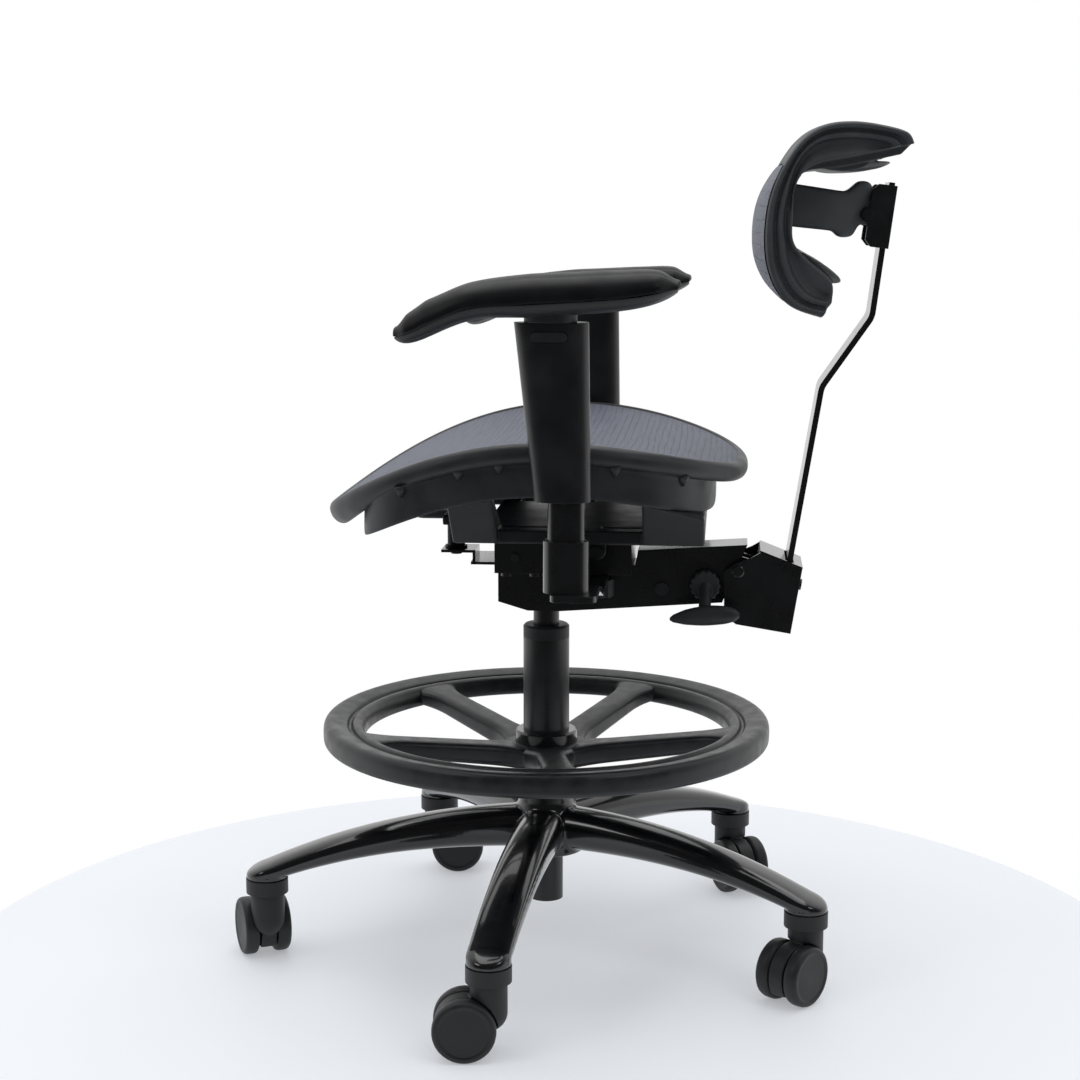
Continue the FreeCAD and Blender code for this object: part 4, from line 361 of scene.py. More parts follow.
# Painted shade: a darker copy of the black plastic, for the carrier under the seat
UNDER_PLASTIC_SHADED = finish("under_seat_plastic_shaded", linear(14, 16, 18), linear(34, 36, 39), rough=(0.36, 0.5),
                       grain=0.7 * MM, depth=0.02 * MM, edge=0, specular=0.45)
WHEEL = finish("wheel_plastic", linear(19, 20, 23), linear(40, 42, 45), rough=(0.42, 0.56),
               grain=0.8 * MM, depth=0.02 * MM, edge=0, specular=0.45)
RUBBER = finish("foot_ring_skin", linear(19, 21, 24), linear(40, 43, 46), rough=(0.32, 0.46),
                grain=0.6 * MM, depth=0.02 * MM, edge=0, patch=14 * MM)
PAD_SKIN = finish("arm_pad_skin", linear(9, 10, 13), linear(25, 27, 30), rough=(0.42, 0.54),
                  grain=0.9 * MM, depth=0.04 * MM, edge=0, specular=0.24)
STEEL = finish("bright_steel", linear(150, 153, 156), linear(200, 203, 206), rough=(0.25, 0.4),
               grain=0.5 * MM, depth=0.02 * MM, metal=1.0)
SEAT_WEAVE = woven("mesh_fabric", linear(72, 75, 89), linear(14, 15, 19), linear(88, 91, 105),
                   pitch=1.5 * MM, lines_apart=6.5 * MM, line_share=0.3)
BACK_WEAVE = woven("mesh_fabric_back", linear(78, 81, 90), linear(30, 32, 36), linear(88, 91, 100),
                   pitch=1.5 * MM, lines_apart=13 * MM, line_share=0.12)

FINISHES = {
    "gloss_black_metal": GLOSS,
    "satin_black_metal": SATIN,
    "black_plastic": PLASTIC,
    "wheel_plastic": WHEEL,
    "foot_ring_skin": RUBBER,
    "arm_pad_skin": PAD_SKIN,
    "bright_steel": STEEL,
    "mesh_fabric": SEAT_WEAVE,
}
SIDES = ("left", "right")
COATED_NODES = ["main_housing", "seat_tray", "back_bar", "foot_ring_collar"]
for kind in ("arm_bracket_", "arm_socket_", "arm_post_"):
    COATED_NODES += [kind + side for side in SIDES]
SATIN_NODES = ["back_slider"] + ["arm_sleeve_" + side for side in SIDES]
for node_name, cad in NODES.items():
    for slot in cad.material_slots:
        name = slot.material.name.split(".")[0] if slot.material else "black_plastic"
        slot.material = FINISHES.get(name, PLASTIC)
        if node_name in COATED_NODES and name != "bright_steel":
            slot.material = COATED
        if node_name in SATIN_NODES:
            slot.material = SATIN


# Base: five arms that run into the hub and into round bosses over the casters

ARM_TURNS = [math.radians(-5.45 + 72 * index) for index in range(5)]
STEM_CIRCLE = 307
BOSS_SECTION = ((0.05, 92), (14, 92), (22.4, 92.2), (22.6, 95), (22, 97.5), (19, 99.5), (0.05, 100))
BOSS_REACH = 22.4
HUB_SECTION = ((25.2, 114), (42, 114), (43, 116), (43, 140), (40, 149), (33.5, 160), (31, 168), (30, 183),
               (29, 185), (25.2, 185))
ARM_END_TOP = 110
ARM_RISE = 54
ARM_CURVE = 2.35
ARM_HUB_DEPTH = 47
ARM_THINNING = 26
ARM_HUB_HALF = 26
BOSS_FLOOR = 92.4


def base_arm():
    """One arm from the hub out over its caster, ending in a round nose."""
    stations = [(radius, 1.0) for radius in range(31, STEM_CIRCLE + 1, 6)]
    for angle in (12, 24, 36, 48, 60, 70, 79, 86):
        turn = math.radians(angle)
        stations.append((STEM_CIRCLE + BOSS_REACH * math.sin(turn), math.cos(turn)))
    rings = []
    for radius, shrink in stations:
        share = min(1.0, radius / STEM_CIRCLE)
        top = ARM_END_TOP + ARM_RISE * (1 - share ** ARM_CURVE) - 0.3 * max(0.0, radius - STEM_CIRCLE)
        low = max(top - ARM_HUB_DEPTH + ARM_THINNING * share ** 1.2, BOSS_FLOOR)
        half_depth = (top - low) / 2 * (0.4 + 0.6 * shrink)
        half_width = lerp(ARM_HUB_HALF, BOSS_REACH, share) * shrink
        rings.append([Vector((radius, across, low + half_depth + up))
                      for across, up in oval(half_width, half_depth, 0.78, 40)])
    return loft(rings)


arms = [turned(HUB_SECTION)]
for turn in ARM_TURNS:
    facing = Matrix.Rotation(turn, 4, "Z")
    arms.append(moved(base_arm(), facing))
    arms.append(moved(turned(BOSS_SECTION, 96), facing @ Matrix.Translation((STEM_CIRCLE, 0, 0))))
moulding("star_casting", arms, 1.4, 12, GLOSS, "base_star")


# Casters: a rounded hood between two plain wheels

TRAIL_TURNS = [math.radians(angle) for angle in (-85, -37, 27, 93, 206)]
TRAIL = 23.5
AXLE_HEIGHT = 31.5
WHEEL_SECTION = ((0.05, 9.5), (25, 9.5), (28.6, 9.8), (30.6, 11.2), (31.4, 13.6), (31.5, 17.5),
                 (31.3, 21.4), (30.4, 23.8), (28.8, 25.1), (27.0, 25.5), (25.4, 25.3), (24.6, 24.8),
                 (23.6, 24.6), (22.6, 24.6), (12, 24.6), (1, 24.6), (0.05, 24.6))
AXLE_SECTION = ((0.05, -12), (4, -12), (4, 12), (0.05, 12))

for number, (arm_turn, trail_turn) in enumerate(zip(ARM_TURNS, TRAIL_TURNS), 1):
    softened("caster_fork_%d" % number, 0.9, 6, WHEEL)
    middle = Vector((STEM_CIRCLE * math.cos(arm_turn) + TRAIL * math.cos(trail_turn),
                     STEM_CIRCLE * math.sin(arm_turn) + TRAIL * math.sin(trail_turn), AXLE_HEIGHT))
    axle = Vector((-math.sin(trail_turn), math.cos(trail_turn), 0))
    shells = []
    for section, way in ((WHEEL_SECTION, axle), (WHEEL_SECTION, -axle), (AXLE_SECTION, axle)):
        tilt = Vector((0, 0, 1)).rotation_difference(way).to_matrix().to_4x4()
        shells.append(moved(turned(section, 112), Matrix.Translation(middle) @ tilt))
    node_name = "caster_wheels_%d" % number
    wheel_mesh = joined_mesh(node_name, shells)
    dressed("rolling_" + node_name, wheel_mesh, WHEEL, BODY_OF[node_name], [node_name])


# Foot ring: two beads with a shallow groove between them, on five spokes that flare at both ends

RING_SECTION = ((240.2, 239.4), (242.5, 242.4), (243, 248), (242.9, 255), (241.8, 259.6), (239, 262.6),
                (235, 263.6), (230, 263.0), (224.5, 261.8), (219.8, 260.6), (217.4, 259.2), (216, 256.2),
                (214, 255.2), (212, 256.6), (210.6, 259.4), (207.4, 260.6), (203.8, 260.0), (200.6, 257.6),
                (198.4, 253.6), (197.3, 248), (197.4, 243.6), (199.4, 240.2), (203, 238.8), (210, 238.5),
                (230, 238.5))
RING_HUB_SECTION = ((25.2, 212), (39, 212), (42, 214.6), (42, 231), (40.6, 234.6), (37, 236), (25.2, 236))
SPOKE_START = 42
SPOKE_LENGTH = 155
SPOKE_TOP = (236.5, 258.5)
SPOKE_LOW = (211.5, 239)
SPOKE_HALF = 16.5
SPOKE_FLARE = 9
FIRST_SPOKE = 9


def ring_spoke():
    rings = []
    for radius in range(34, 206, 4):
        share = (radius - SPOKE_START) / SPOKE_LENGTH
        flare = max(0.0, abs(2 * share - 1) - 0.55) / 0.45
        top = lerp(*SPOKE_TOP, share)
        low = lerp(*SPOKE_LOW, share)
        half_width = SPOKE_HALF + SPOKE_FLARE * flare ** 2.2
        rings.append([Vector((radius, across, (top + low) / 2 + up))
                      for across, up in oval(half_width, (top - low) / 2, 0.5, 36)])
    return loft(rings)


spokes = [turned(rounded_loop(RING_SECTION, 160), 240), turned(RING_HUB_SECTION)]
for index in range(5):
    spokes.append(moved(ring_spoke(), Matrix.Rotation(math.radians(FIRST_SPOKE + 72 * index), 4, "Z")))
moulding("ring_casting", spokes, 0.9, 3, RUBBER, "foot_ring")


# Wing knob: a fluted collar, a stem and a leaf-shaped paddle that droops at its point

KNOB = Vector((24.3, 172, 417))
LEAF = ((0.0, 0.16), (0.05, 0.40), (0.22, 0.76), (0.50, 1.0), (0.78, 0.92), (0.93, 0.66), (1.0, 0.28))
LEAF_X = 62.3
LEAF_START = 135.4
LEAF_LENGTH = 73
LEAF_LEVEL = 391.5
LEAF_DROOP = 5.5
LEAF_HALF_WIDTH = 7.5
LEAF_HALF_DEPTH = 10.6
STEM_WAY = Vector((33, 0, -27))
STEM_SECTION = ((0.05, 0), (8.5, 0), (7.0, 12), (6.4, 26), (7.4, STEM_WAY.length), (0.05, STEM_WAY.length))


def along_x(shell, place):
    return moved(shell, Matrix.Translation(place) @ Matrix.Rotation(math.pi / 2, 4, "Y"))


def fluted_collar(radius, depth, flutes, start, length):
    rings = []
    for end_share in (0.0, 0.08, 0.2, 0.5, 0.8, 0.92, 1.0):
        inset = 1.6 * abs(2 * end_share - 1) ** 6
        ring = []
        for index in range(160):
            turn = 2 * math.pi * index / 160
            reach = radius - inset - depth * (0.5 + 0.5 * math.cos(flutes * turn)) ** 3
            ring.append(Vector((reach * math.cos(turn), reach * math.sin(turn), start + length * end_share)))
        rings.append(ring)
    return loft(rings)


def leaf_paddle():
    rings = []
    for step in range(41):
        share = step / 40
        size = through(LEAF, share)
        droop = LEAF_DROOP * (1 - share) ** 2
        middle = Vector((LEAF_X, LEAF_START + LEAF_LENGTH * share, LEAF_LEVEL - droop))
        section = oval(LEAF_HALF_WIDTH * size ** 0.8, LEAF_HALF_DEPTH * size, 0.95, 28)
        rings.append([middle + Vector((across, 0, up)) for across, up in section])
    return loft(rings)


stem_tilt = Vector((0, 0, 1)).rotation_difference(STEM_WAY).to_matrix().to_4x4()
knob_stem = moved(turned(STEM_SECTION, 48), Matrix.Translation(KNOB + Vector((6, 0, 0))) @ stem_tilt)
knob_collar = along_x(fluted_collar(radius=16.5, depth=1.8, flutes=14, start=0.4, length=13.0), KNOB)
knob_shells = [knob_collar, knob_stem, leaf_paddle()]
moulding("leaf_knob", knob_shells, 0.7, 4, SEAT_PLASTIC_LIT, "wing_knob")


# Back bracket: side plates that reach forward over the pivot, and a lid with a slot for the bar

SIDE_PLATE = ((192, 433), (203, 441), (222, 449), (229.5, 453.5), (273.5, 437), (262.4, 367.5),
              (205, 376.5), (192, 385))
PLATE_INNER = 35.2
PLATE_OUTER = 37.2
LID_HALF = 35
SLOT_HALF = 31.2
LID_FRONT = ((229.6, 455.6), (256, 445.3), (256, 443.9), (229.6, 454.2))
LID_REAR = ((265, 441.8), (274.2, 438.2), (274.2, 436.8), (265, 440.4))
LID_SIDE = ((256, 445.3), (265, 441.8), (265, 440.4), (256, 443.9))
PIVOT_HEAD = ((0.05, 0), (6.5, 0), (6.5, 1.4), (5.4, 2.2), (0.05, 2.4))
PIVOT = (206.5, 433.5)


def plate(outline, low_x, high_x):
    """A flat plate of one (y, z) outline between two places across the chair."""
    return loft([[Vector((x, y, z)) for y, z in outline] for x in (low_x, high_x)])


def cad_shell(node):
    """A CAD node's own points and faces, in millimetres."""
    mesh = NODES[node].data
    return [vertex.co / MM for vertex in mesh.vertices], [tuple(face.vertices) for face in mesh.polygons]


bracket = [cad_shell("back_bracket")]
for outline in (LID_FRONT, LID_REAR):
    bracket.append(plate(outline, -LID_HALF, LID_HALF))
for low_x, high_x in ((-LID_HALF, -SLOT_HALF), (SLOT_HALF, LID_HALF)):
    bracket.append(plate(LID_SIDE, low_x, high_x))
for low_x, high_x in ((-PLATE_OUTER, -PLATE_INNER), (PLATE_INNER, PLATE_OUTER)):
    bracket.append(plate(SIDE_PLATE, low_x, high_x))
bracket.append(along_x(turned(PIVOT_HEAD, 40), Vector((PLATE_OUTER, *PIVOT))))
dressed("bracket_shell", joined_mesh("bracket_shell", bracket), COATED, "back_carrier",
        ["back_bracket"], crisp=True)


# Seat: the outline is a rounded square, and the height follows the side profile

SEAT_FRONT = -233
SEAT_REAR = 218
SEAT_HALF = 220
CREST_Y = 20
CREST_HEIGHT = 588
FRONT_FALL = 90
FRONT_POWER = 2.1
REAR_FALL = 39
REAR_POWER = 1.8
RIM_SQUARENESS = 2.5
SKIRT_HALF = 207
SKIRT_FRONT = -181
SKIRT_REAR = 182
SKIRT_FRONT_SQUARENESS = 4.5
SKIRT_REAR_SQUARENESS = 3.4
SEAT_STEPS = 192


def seat_height(y):
    if y < CREST_Y:
        return CREST_HEIGHT - FRONT_FALL * ((CREST_Y - y) / (CREST_Y - SEAT_FRONT)) ** FRONT_POWER
    return CREST_HEIGHT - REAR_FALL * ((y - CREST_Y) / (SEAT_REAR - CREST_Y)) ** REAR_POWER


def plan_point(step, half_width, front, rear, front_squareness, rear_squareness):
    angle = 2 * math.pi * (step + 0.5) / SEAT_STEPS
    power = 2 / (rear_squareness if math.sin(angle) > 0 else front_squareness)
    return (half_width * power_of(math.cos(angle), power),
            (front + rear) / 2 + (rear - front) / 2 * power_of(math.sin(angle), power))


def rim_plan(step, inset):
    return plan_point(step, SEAT_HALF - inset, SEAT_FRONT + inset, SEAT_REAR - inset,
                      RIM_SQUARENESS, RIM_SQUARENESS)


def skirt_plan(step, inset):
    return plan_point(step, SKIRT_HALF - inset, SKIRT_FRONT + inset, SKIRT_REAR - inset,
                      SKIRT_FRONT_SQUARENESS, SKIRT_REAR_SQUARENESS)


def below(x, y, drop):
    """A point straight below the side profile."""
    return Vector((x, y, seat_height(y) - drop))


def rolled(step, inset, drop):
    """A point of the rim's roll, set below the profile along its normal."""
    x, y = rim_plan(step, inset)
    slope = (seat_height(y + 0.5) - seat_height(y - 0.5))
    fuller = 1 + 0.4 * eased(-130, SEAT_FRONT, y)
    return below(x, y, 0) - Vector((0, -slope, 1)).normalized() * drop * fuller


def skirt_point(step, inset, drop):
    """A point of the skirt, which stands back from the rim at both ends."""
    x, y = skirt_plan(step, inset)
    return below(x, y, drop)


RIM_SECTION = ((14.0, 9.0), (14.0, 3.4), (12.6, 0.9), (9.4, 0.0), (5.2, 0.9), (2.0, 3.6), (0.3, 7.6),
               (0.1, 11.4), (1.2, 15.2), (3.8, 18.2), (7.4, 19.7), (11.0, 19.6), (13.4, 17.6), (14.0, 14.0))
SKIRT_SECTION = ((0.8, 17.0), (0.0, 20.5), (0.4, 24.0), (0.2, 34.0), (0.0, 46.0), (0.4, 52.4), (1.8, 54.0),
                 (3.4, 52.8), (4.0, 46.0), (4.0, 30.0), (4.0, 18.0))
DECK_INSET = 9
DECK_OVERLAP = 3
CLIP_PLACES = (-128, -72, -8, 88, 150)
CLIP_STATIONS = ((17.5, 6.5, 4.6), (20.0, 6.2, 4.8), (24.0, 4.2, 3.4), (28.5, 1.6, 1.2))


def seat_rim():
    roll = rounded_loop(RIM_SECTION, 48)
    skirt = rounded_loop(SKIRT_SECTION, 48)
    shells = [swept([[rolled(step, *spot) for spot in roll] for step in range(SEAT_STEPS)]),
              swept([[skirt_point(step, *spot) for spot in skirt] for step in range(SEAT_STEPS)])]
    deck = []
    for step in range(SEAT_STEPS):
        inner = skirt_plan(step, DECK_OVERLAP)
        deck.append([rolled(step, DECK_INSET, 15.0), below(*inner, 16.2),
                     below(*inner, 19.6), rolled(step, DECK_INSET, 18.4)])
    shells.append(swept(deck))
    return shells


def skirt_clips():
    """Small three-cornered clips that hold the mesh's edge, under the roll on both sides."""
    shells = []
    for y in CLIP_PLACES:
        near = min((step for step in range(SEAT_STEPS) if skirt_point(step, 0, 0).x > 0),
                   key=lambda step: abs(skirt_point(step, 0, 0).y - y))
        spot = skirt_point(near, 0, 0)
        for side in (1, -1):
            rings = []
            for drop, half, out in CLIP_STATIONS:
                corners = ((-2, -half), (out, -half * 0.7), (out, half * 0.7), (-2, half))
                rings.append([Vector((side * (spot.x + reach), spot.y + ahead, seat_height(spot.y) - drop))
                              for reach, ahead in corners])
            shells.append(loft(rings))
    return shells


rim_mesh = joined_mesh("seat_rim", seat_rim() + skirt_clips())
dressed("seat_rim", rim_mesh, SEAT_PLASTIC_LIT, "seat", ["seat_frame"])


def seat_weave():
    """The stretched seat mesh, dished a little below its rim."""
    rings = 30
    sag = 6.0
    edge = 13.4
    points = [below(0, (SEAT_FRONT + SEAT_REAR) / 2, 2 + sag)]
    for ring in range(1, rings + 1):
        reach = ring / rings
        for step in range(SEAT_STEPS):
            x, y = rim_plan(step, edge)
            y = lerp((SEAT_FRONT + SEAT_REAR) / 2, y, reach)
            points.append(below(x * reach, y, 2.0 + sag * (1 - reach ** 2)))
    faces = [(0, 1 + step, 1 + (step + 1) % SEAT_STEPS) for step in range(SEAT_STEPS)]
    for quad in ring_faces(rings, SEAT_STEPS, False, True):
        faces.append(tuple(index + 1 for index in quad))
    mesh = joined_mesh("seat_weave", [(points, faces)])
    piece = dressed("seat_weave", mesh, SEAT_WEAVE, "seat", ["seat_mesh"])
    travelled = [0.0]
    for y in range(SEAT_FRONT, SEAT_REAR):
        travelled.append(travelled[-1] + math.hypot(1, seat_height(y + 1) - seat_height(y)))

    def arc(y):
        spot = max(0.0, min(len(travelled) - 1.001, y - SEAT_FRONT))
        return lerp(travelled[int(spot)], travelled[int(spot) + 1], spot - int(spot))
    set_metre_uv(piece, [(point.x * MM, arc(point.y) * MM) for point in points])


seat_weave()
softened("seat_carrier", 1.2, 14, UNDER_PLASTIC_SHADED)


# Back pad: a moulded C with rolled ends, open windows beside its spine, and mesh over its front

PIN = Vector((0, 332.844, 805.698))
BACK_HALF = 150
OUTER = ((133, 71), (126, 82), (102, 89), (74, 92.5), (50, 89), (31, 75), (15, 51), (5.5, 30), (0, 8),
         (-2, -18), (0, -43), (7.5, -65), (18, -81), (31, -90), (51, -97))
INNER = ((123, 61), (70, 50), (37, 45), (26, 29), (24.5, 3), (25.5, -23), (39, -41), (59, -61), (60, -81))
FRONT = OUTER[6:13]
UPPER_LIP = ((48, 54), (60, 48), (84, 45.5), (108, 47.5), (122, 52), (123, 55), (108, 55), (84, 58),
             (60, 62))
LOWER_LIP = ((34, -34), (46, -39), (62, -48), (74, -57.5), (78, -63), (75, -65), (62, -59), (48, -51),
             (36, -47))
ROLL = ((0.0, 138.0), (0.2, 144.0), (1.6, 148.4), (4.0, 150.0), (6.4, 149.6), (8.2, 147.2), (9.4, 143.6),
        (10.6, 142.4), (12.0, 143.8), (13.4, 146.6), (15.4, 148.2), (18.2, 148.0), (20.2, 146.0),
        (21.6, 141.8), (23.4, 140.4), (28.0, 140.0))
PAD_AHEAD = 96
PAD_BELOW = 2.5
BOW = 11
EDGE_BOW = 8


def back_point(x, y, z):
    """A point of the back pad at x, its plan bowed forward in the middle."""
    side = (x / BACK_HALF) ** 2
    bow = BOW * (1 - side) + EDGE_BOW * side * (1 - eased(10, 95, y))
    return PIN + Vector((x, y - PAD_AHEAD - bow, z - PAD_BELOW))


def back_band(low_x, high_x, first, last, end_roll):
    """A stretch of the C between two shares of its length, from low_x to high_x."""
    count = 110
    outer = resampled(OUTER, count)
    inner = resampled(INNER, count)
    rings = []
    for index in range(round(first * (count - 1)), round(last * (count - 1)) + 1):
        (y_out, z_out), (y_in, z_in) = outer[index], inner[index]
        if end_roll:
            z_in += 8 * eased(0.34, 0.12, index / (count - 1)) if z_in > 40 else 0
        thick = math.dist((y_out, z_out), (y_in, z_in))
        across = [(0.0, lerp(low_x, high_x, step / 6)) for step in range(6)]
        if end_roll:
            across += [(depth, x) for depth, x in ROLL if depth < thick - 5]
            across += [(thick - 3, 146.8), (thick - 0.8, 145.6), (thick, 142)]
        else:
            across += [(0.0, high_x), (thick, high_x)]
        across += [(thick, lerp(high_x, low_x, step / 6)) for step in range(1 if end_roll else 0, 7)]
        rings.append([back_point(x, lerp(y_out, y_in, depth / thick), lerp(z_out, z_in, depth / thick))
                      for depth, x in across])
    return rings


def even_rings(rings):
    """The rings with the same number of points each, so that they can be joined."""
    count = max(len(ring) for ring in rings)
    level = []
    for ring in rings:
        closed = ring + ring[:1]
        lengths = [0.0]
        for before, after in zip(closed, closed[1:]):
            lengths.append(lengths[-1] + (after - before).length)
        even = []
        for step in range(4 * count):
            goal = lengths[-1] * step / (4 * count)
            spot = max(index for index in range(len(ring)) if lengths[index] <= goal)
            share = (goal - lengths[spot]) / max(1e-9, lengths[spot + 1] - lengths[spot])
            even.append(closed[spot].lerp(closed[spot + 1], share))
        level.append(even)
    return level


def across_lip(section, half_width):
    """A lip of one section that runs across the pad."""
    loop = rounded_loop(section, 40)
    rings = []
    for step in range(25):
        x = lerp(-half_width, half_width, step / 24)
        short = 1 - 0.35 * abs(x / half_width) ** 6
        rings.append([back_point(x, 40 + (y - 40) * short, z) for y, z in loop])
    return loft(rings)


def back_shells():
    side = loft(even_rings(back_band(122, 144, 0.0, 1.0, True)))
    other = moved(side, Matrix.Scale(-1, 4, (1, 0, 0)))
    spine = loft(back_band(-28, 28, 0.2, 0.9, False))
    upper = loft(back_band(-130, 130, 0.0, 0.42, False))
    lower = loft(back_band(-130, 130, 0.79, 1.0, False))
    return [side, other, spine, upper, lower, across_lip(UPPER_LIP, 118), across_lip(LOWER_LIP, 106)]


moulding("back_moulding", back_shells(), 0.9, 3, BACK_PLASTIC_LIT, "back_frame")
softened("back_arm", 1.6, 50, ARM_PLASTIC_LIT)


def back_weave():
    """The stretched back mesh, full in the middle and drawn in at its edges."""
    half = 143
    rows = resampled(FRONT, 64)
    columns = 56
    points = []
    places = []
    travelled = 0.0
    for index, (y, z) in enumerate(rows):
        if index:
            travelled += math.dist(rows[index], rows[index - 1])
        level = abs(2 * index / (len(rows) - 1) - 1)
        for column in range(columns + 1):
            x = lerp(-half, half, column / columns)
            belly = (1 - abs(x / half) ** 2.6) * (1 - level ** 2.4)
            points.append(back_point(x, y - 0.9 - 7.5 * belly, z))
            places.append((x * MM, travelled * MM))
    mesh = joined_mesh("back_weave", [(points, ring_faces(len(rows), columns + 1))])
    piece = dressed("back_weave", mesh, BACK_WEAVE, "back_pad", ["back_mesh"])
    set_metre_uv(piece, places)


back_weave()


# Arm pads: the soft upper half of each pad, closed along its seam

PAD_STATIONS = ((0.0, -18.0, -5.0, 0.42), (0.04, -20.5, 7.0, 0.66), (0.11, -15.0, 20.0, 0.82),
                (0.26, 0.5, 36.0, 0.97), (0.45, 4.0, 43.5, 1.0), (0.62, 6.5, 46.0, 1.0),
                (0.80, 10.5, 48.0, 0.97), (0.93, 18.0, 48.0, 0.84), (1.0, 28.0, 39.0, 0.5))
PAD_SEAM = 0.34
PAD_HALF = 44
PAD_OUT = 265
PAD_FRONT = -118
PAD_LENGTH = 263.5
PAD_LEVEL = 708
RIGHT_DROP = 14


def pad_ring(share, around):
    """One section of the pad above its seam, with a crease near the top that deepens to the rear."""
    columns = [[(station[0], station[item]) for station in PAD_STATIONS] for item in (1, 2, 3)]
    low, top, width = (through(column, share) for column in columns)
    seam = low + PAD_SEAM * (top - low)
    crease = 1.1 * eased(0.2, 0.65, share)
    ring = []
    for index in range(around):
        angle = 2 * math.pi * index / around
        out = math.cos(angle)
        dent = 1.0
        if angle < math.pi:
            from_crease = math.degrees(math.asin(math.sin(angle))) - 58
            dent -= crease / 30 * math.exp(-(from_crease / 5) ** 2)
            under_seam = math.degrees(math.asin(math.sin(angle)))
            dent -= 0.03 * math.exp(-(under_seam / 5) ** 2)
        rise = (top - seam) * power_of(math.sin(angle), 0.72) if angle < math.pi else 0.0
        ring.append(Vector((PAD_HALF * width * power_of(out, 0.7) * dent, 0, seam + 0.5 + rise * dent)))
    middle = sum(ring, Vector()) / around
    return ring, middle


def arm_pad(side, name, drop):
    steps = 72
    around = 96
    rings = []
    for step in range(-3, steps + 4):
        share = 0.5 - 0.5 * math.cos(math.pi * max(0, min(steps, step)) / steps)
        ring, middle = pad_ring(share, around)
        past = max(-step, step - steps, 0)
        size = math.sqrt(1 - (past / 3.2) ** 2)
        y = PAD_FRONT + PAD_LENGTH * share + (0.9 * past if step > steps else -0.9 * past)
        rings.append([Vector((side * (PAD_OUT + lerp(middle.x, spot.x, size)), y,
                              PAD_LEVEL - drop + lerp(middle.z, spot.z, size))) for spot in ring])
    piece_name = "arm_pad_skin_" + name
    mesh = joined_mesh(piece_name, [loft(rings)])
    piece = dressed(piece_name, mesh, PAD_SKIN, "arm_rest_" + name, ["arm_pad_" + name])


arm_pad(1, "left", 0)
arm_pad(-1, "right", RIGHT_DROP)


# Stage, light and camera

TABLE_CENTRE = (54 * MM, 8 * MM)
TABLE_RADIUS = 661 * MM
TABLE_GLOW = 0.34
FLOOR_RADIUS = 12.0
FLOOR_DROP = 6 * MM
CAMERA_PLACE = (2201.1 * MM, 192.6 * MM, 822.4 * MM)
CAMERA_WAY = Vector((-0.98263, -0.08909, -0.16281))
CAMERA_LENS = 69.1


def flat_disc(name, radius, height, material, segments=160):
    mesh = bpy.data.meshes.new(name)
    shape = bmesh.new()
    bmesh.ops.create_circle(shape, cap_ends=True, radius=radius, segments=segments)
    shape.to_mesh(mesh)
    shape.free()
    disc = bpy.data.objects.new(name, mesh)
    disc.location = (*TABLE_CENTRE, height)
    bpy.context.scene.collection.objects.link(disc)
    mesh.materials.append(material)


def light_path(tree):
    """Shares of camera rays, and of mirrored and refracted rays."""
    path = add_node(tree, "ShaderNodeLightPath").outputs
    shiny = arithmetic(tree, "MAXIMUM", path["Is Glossy Ray"], path["Is Transmission Ray"])
    return path["Is Camera Ray"], shiny


def table_material():
    """A pale turntable, with a faint glow where it is seen, which keeps the shadows light."""
    material, tree, shader = new_material("turntable_top")
    place = add_node(tree, "ShaderNodeTexCoord").outputs["Object"]
    patches = spread(tree, noise(tree, place, 0.5), 0.0, 1.0)
    tone = blended(tree, patches, linear(192, 195, 200), linear(196, 199, 204))
    tree.links.new(shader.inputs["Base Color"], tone)
    shader.inputs["Roughness"].default_value = 0.6
    shader.inputs["Specular IOR Level"].default_value = 0.3
    shader.inputs["Emission Color"].default_value = linear(248, 251, 255)
    direct, shiny = light_path(tree)
    seen = arithmetic(tree, "MAXIMUM", direct, shiny)
    tree.links.new(shader.inputs["Emission Strength"], arithmetic(tree, "MULTIPLY", seen, TABLE_GLOW))
    return material


def surround_material():
    """White where it is seen, dim in reflections on the left side, and a plain white floor to the light."""
    material, tree, shader = new_material("studio_floor")
    shader.inputs["Base Color"].default_value = linear(240, 242, 246)
    direct, shiny = light_path(tree)
    seen = arithmetic(tree, "MAXIMUM", direct, shiny)
    place = add_node(tree, "ShaderNodeNewGeometry").outputs["Position"]
    leftward = add_node(tree, "ShaderNodeSeparateXYZ", [("Vector", place)]).outputs["X"]
    level = arithmetic(tree, "MAXIMUM", direct, spread(tree, leftward, 1.0, 0.05, 0.2, 1.1))
    glow = add_node(tree, "ShaderNodeEmission", [("Strength", level)], Color=(1, 1, 1, 1))
    mixed = add_node(tree, "ShaderNodeMixShader", [(0, seen), (1, shader.outputs[0]), (2, glow.outputs[0])])
    tree.links.new(tree.nodes["Material Output"].inputs["Surface"], mixed.outputs[0])
    return material


flat_disc("studio_floor", FLOOR_RADIUS, -FLOOR_DROP, surround_material())
flat_disc("turntable", TABLE_RADIUS, 0.0, table_material())


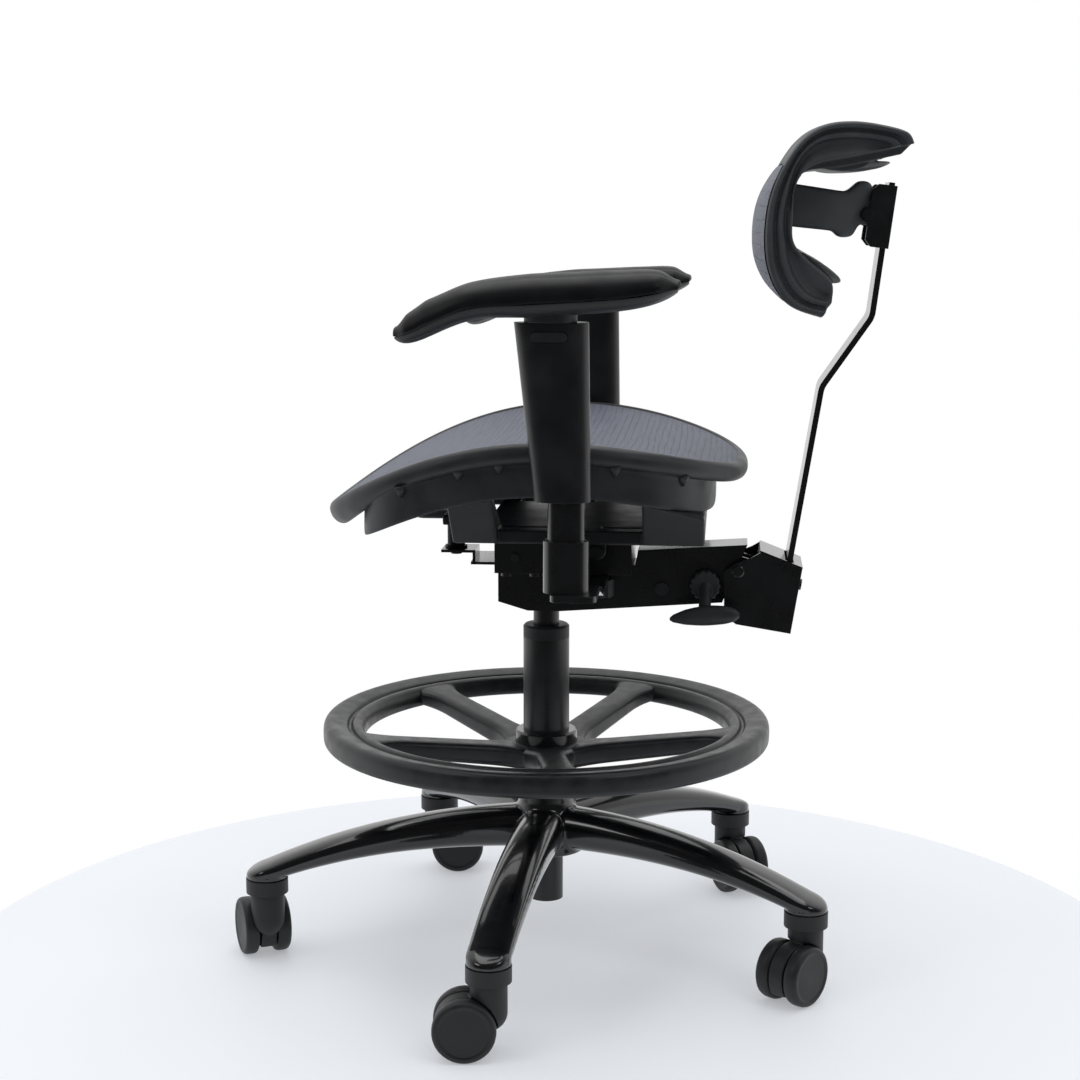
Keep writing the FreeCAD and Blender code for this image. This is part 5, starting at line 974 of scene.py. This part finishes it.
def lamp(name, place, size, power):
    light = bpy.data.lights.new(name, "AREA")
    light.size = size
    light.energy = power
    holder = bpy.data.objects.new(name, light)
    holder.location = place
    holder.rotation_euler = (Vector((0, 0, 0.5)) - Vector(place)).to_track_quat("-Z", "Y").to_euler()
    bpy.context.scene.collection.objects.link(holder)


lamp("top_light", (-0.2, 0.0, 2.8), 2.4, 32)
lamp("left_light", (1.6, -2.0, 2.1), 0.8, 8)
lamp("right_light", (1.6, 1.9, 2.1), 0.8, 7)


def studio_world():
    """Even white all round, with a dim left side in reflections."""
    world = bpy.data.worlds.new("studio")
    bpy.context.scene.world = world
    world.use_nodes = True
    tree = world.node_tree
    tree.nodes.clear()
    direct, shiny = light_path(tree)
    place = add_node(tree, "ShaderNodeTexCoord").outputs["Generated"]
    towards = add_node(tree, "ShaderNodeVectorMath", [(0, place)], operation="DOT_PRODUCT")
    towards.inputs[1].default_value = (0.97, 0.09, 0.2)
    mirrored_level = spread(tree, towards.outputs["Value"], 1.0, 0.06, -0.15, 0.45)
    fill = add_node(tree, "ShaderNodeBackground", Color=(1, 1, 1, 1), Strength=0.7)
    mirrored = add_node(tree, "ShaderNodeBackground", [("Strength", mirrored_level)], Color=(1, 1, 1, 1))
    seen = add_node(tree, "ShaderNodeBackground", Color=(1, 1, 1, 1), Strength=1.0)
    inside = add_node(tree, "ShaderNodeMixShader",
                      [(0, shiny), (1, fill.outputs[0]), (2, mirrored.outputs[0])])
    mixed = add_node(tree, "ShaderNodeMixShader", [(0, direct), (1, inside.outputs[0]), (2, seen.outputs[0])])
    output = add_node(tree, "ShaderNodeOutputWorld")
    tree.links.new(output.inputs["Surface"], mixed.outputs[0])


studio_world()
bpy.context.scene.view_settings.view_transform = "Standard"

camera_data = bpy.data.cameras.new("camera")
camera_data.lens = CAMERA_LENS
camera_data.sensor_width = 36.0
camera = bpy.data.objects.new("camera", camera_data)
camera.location = CAMERA_PLACE
camera.rotation_euler = CAMERA_WAY.to_track_quat("-Z", "Y").to_euler()
bpy.context.scene.collection.objects.link(camera)
bpy.context.scene.camera = camera
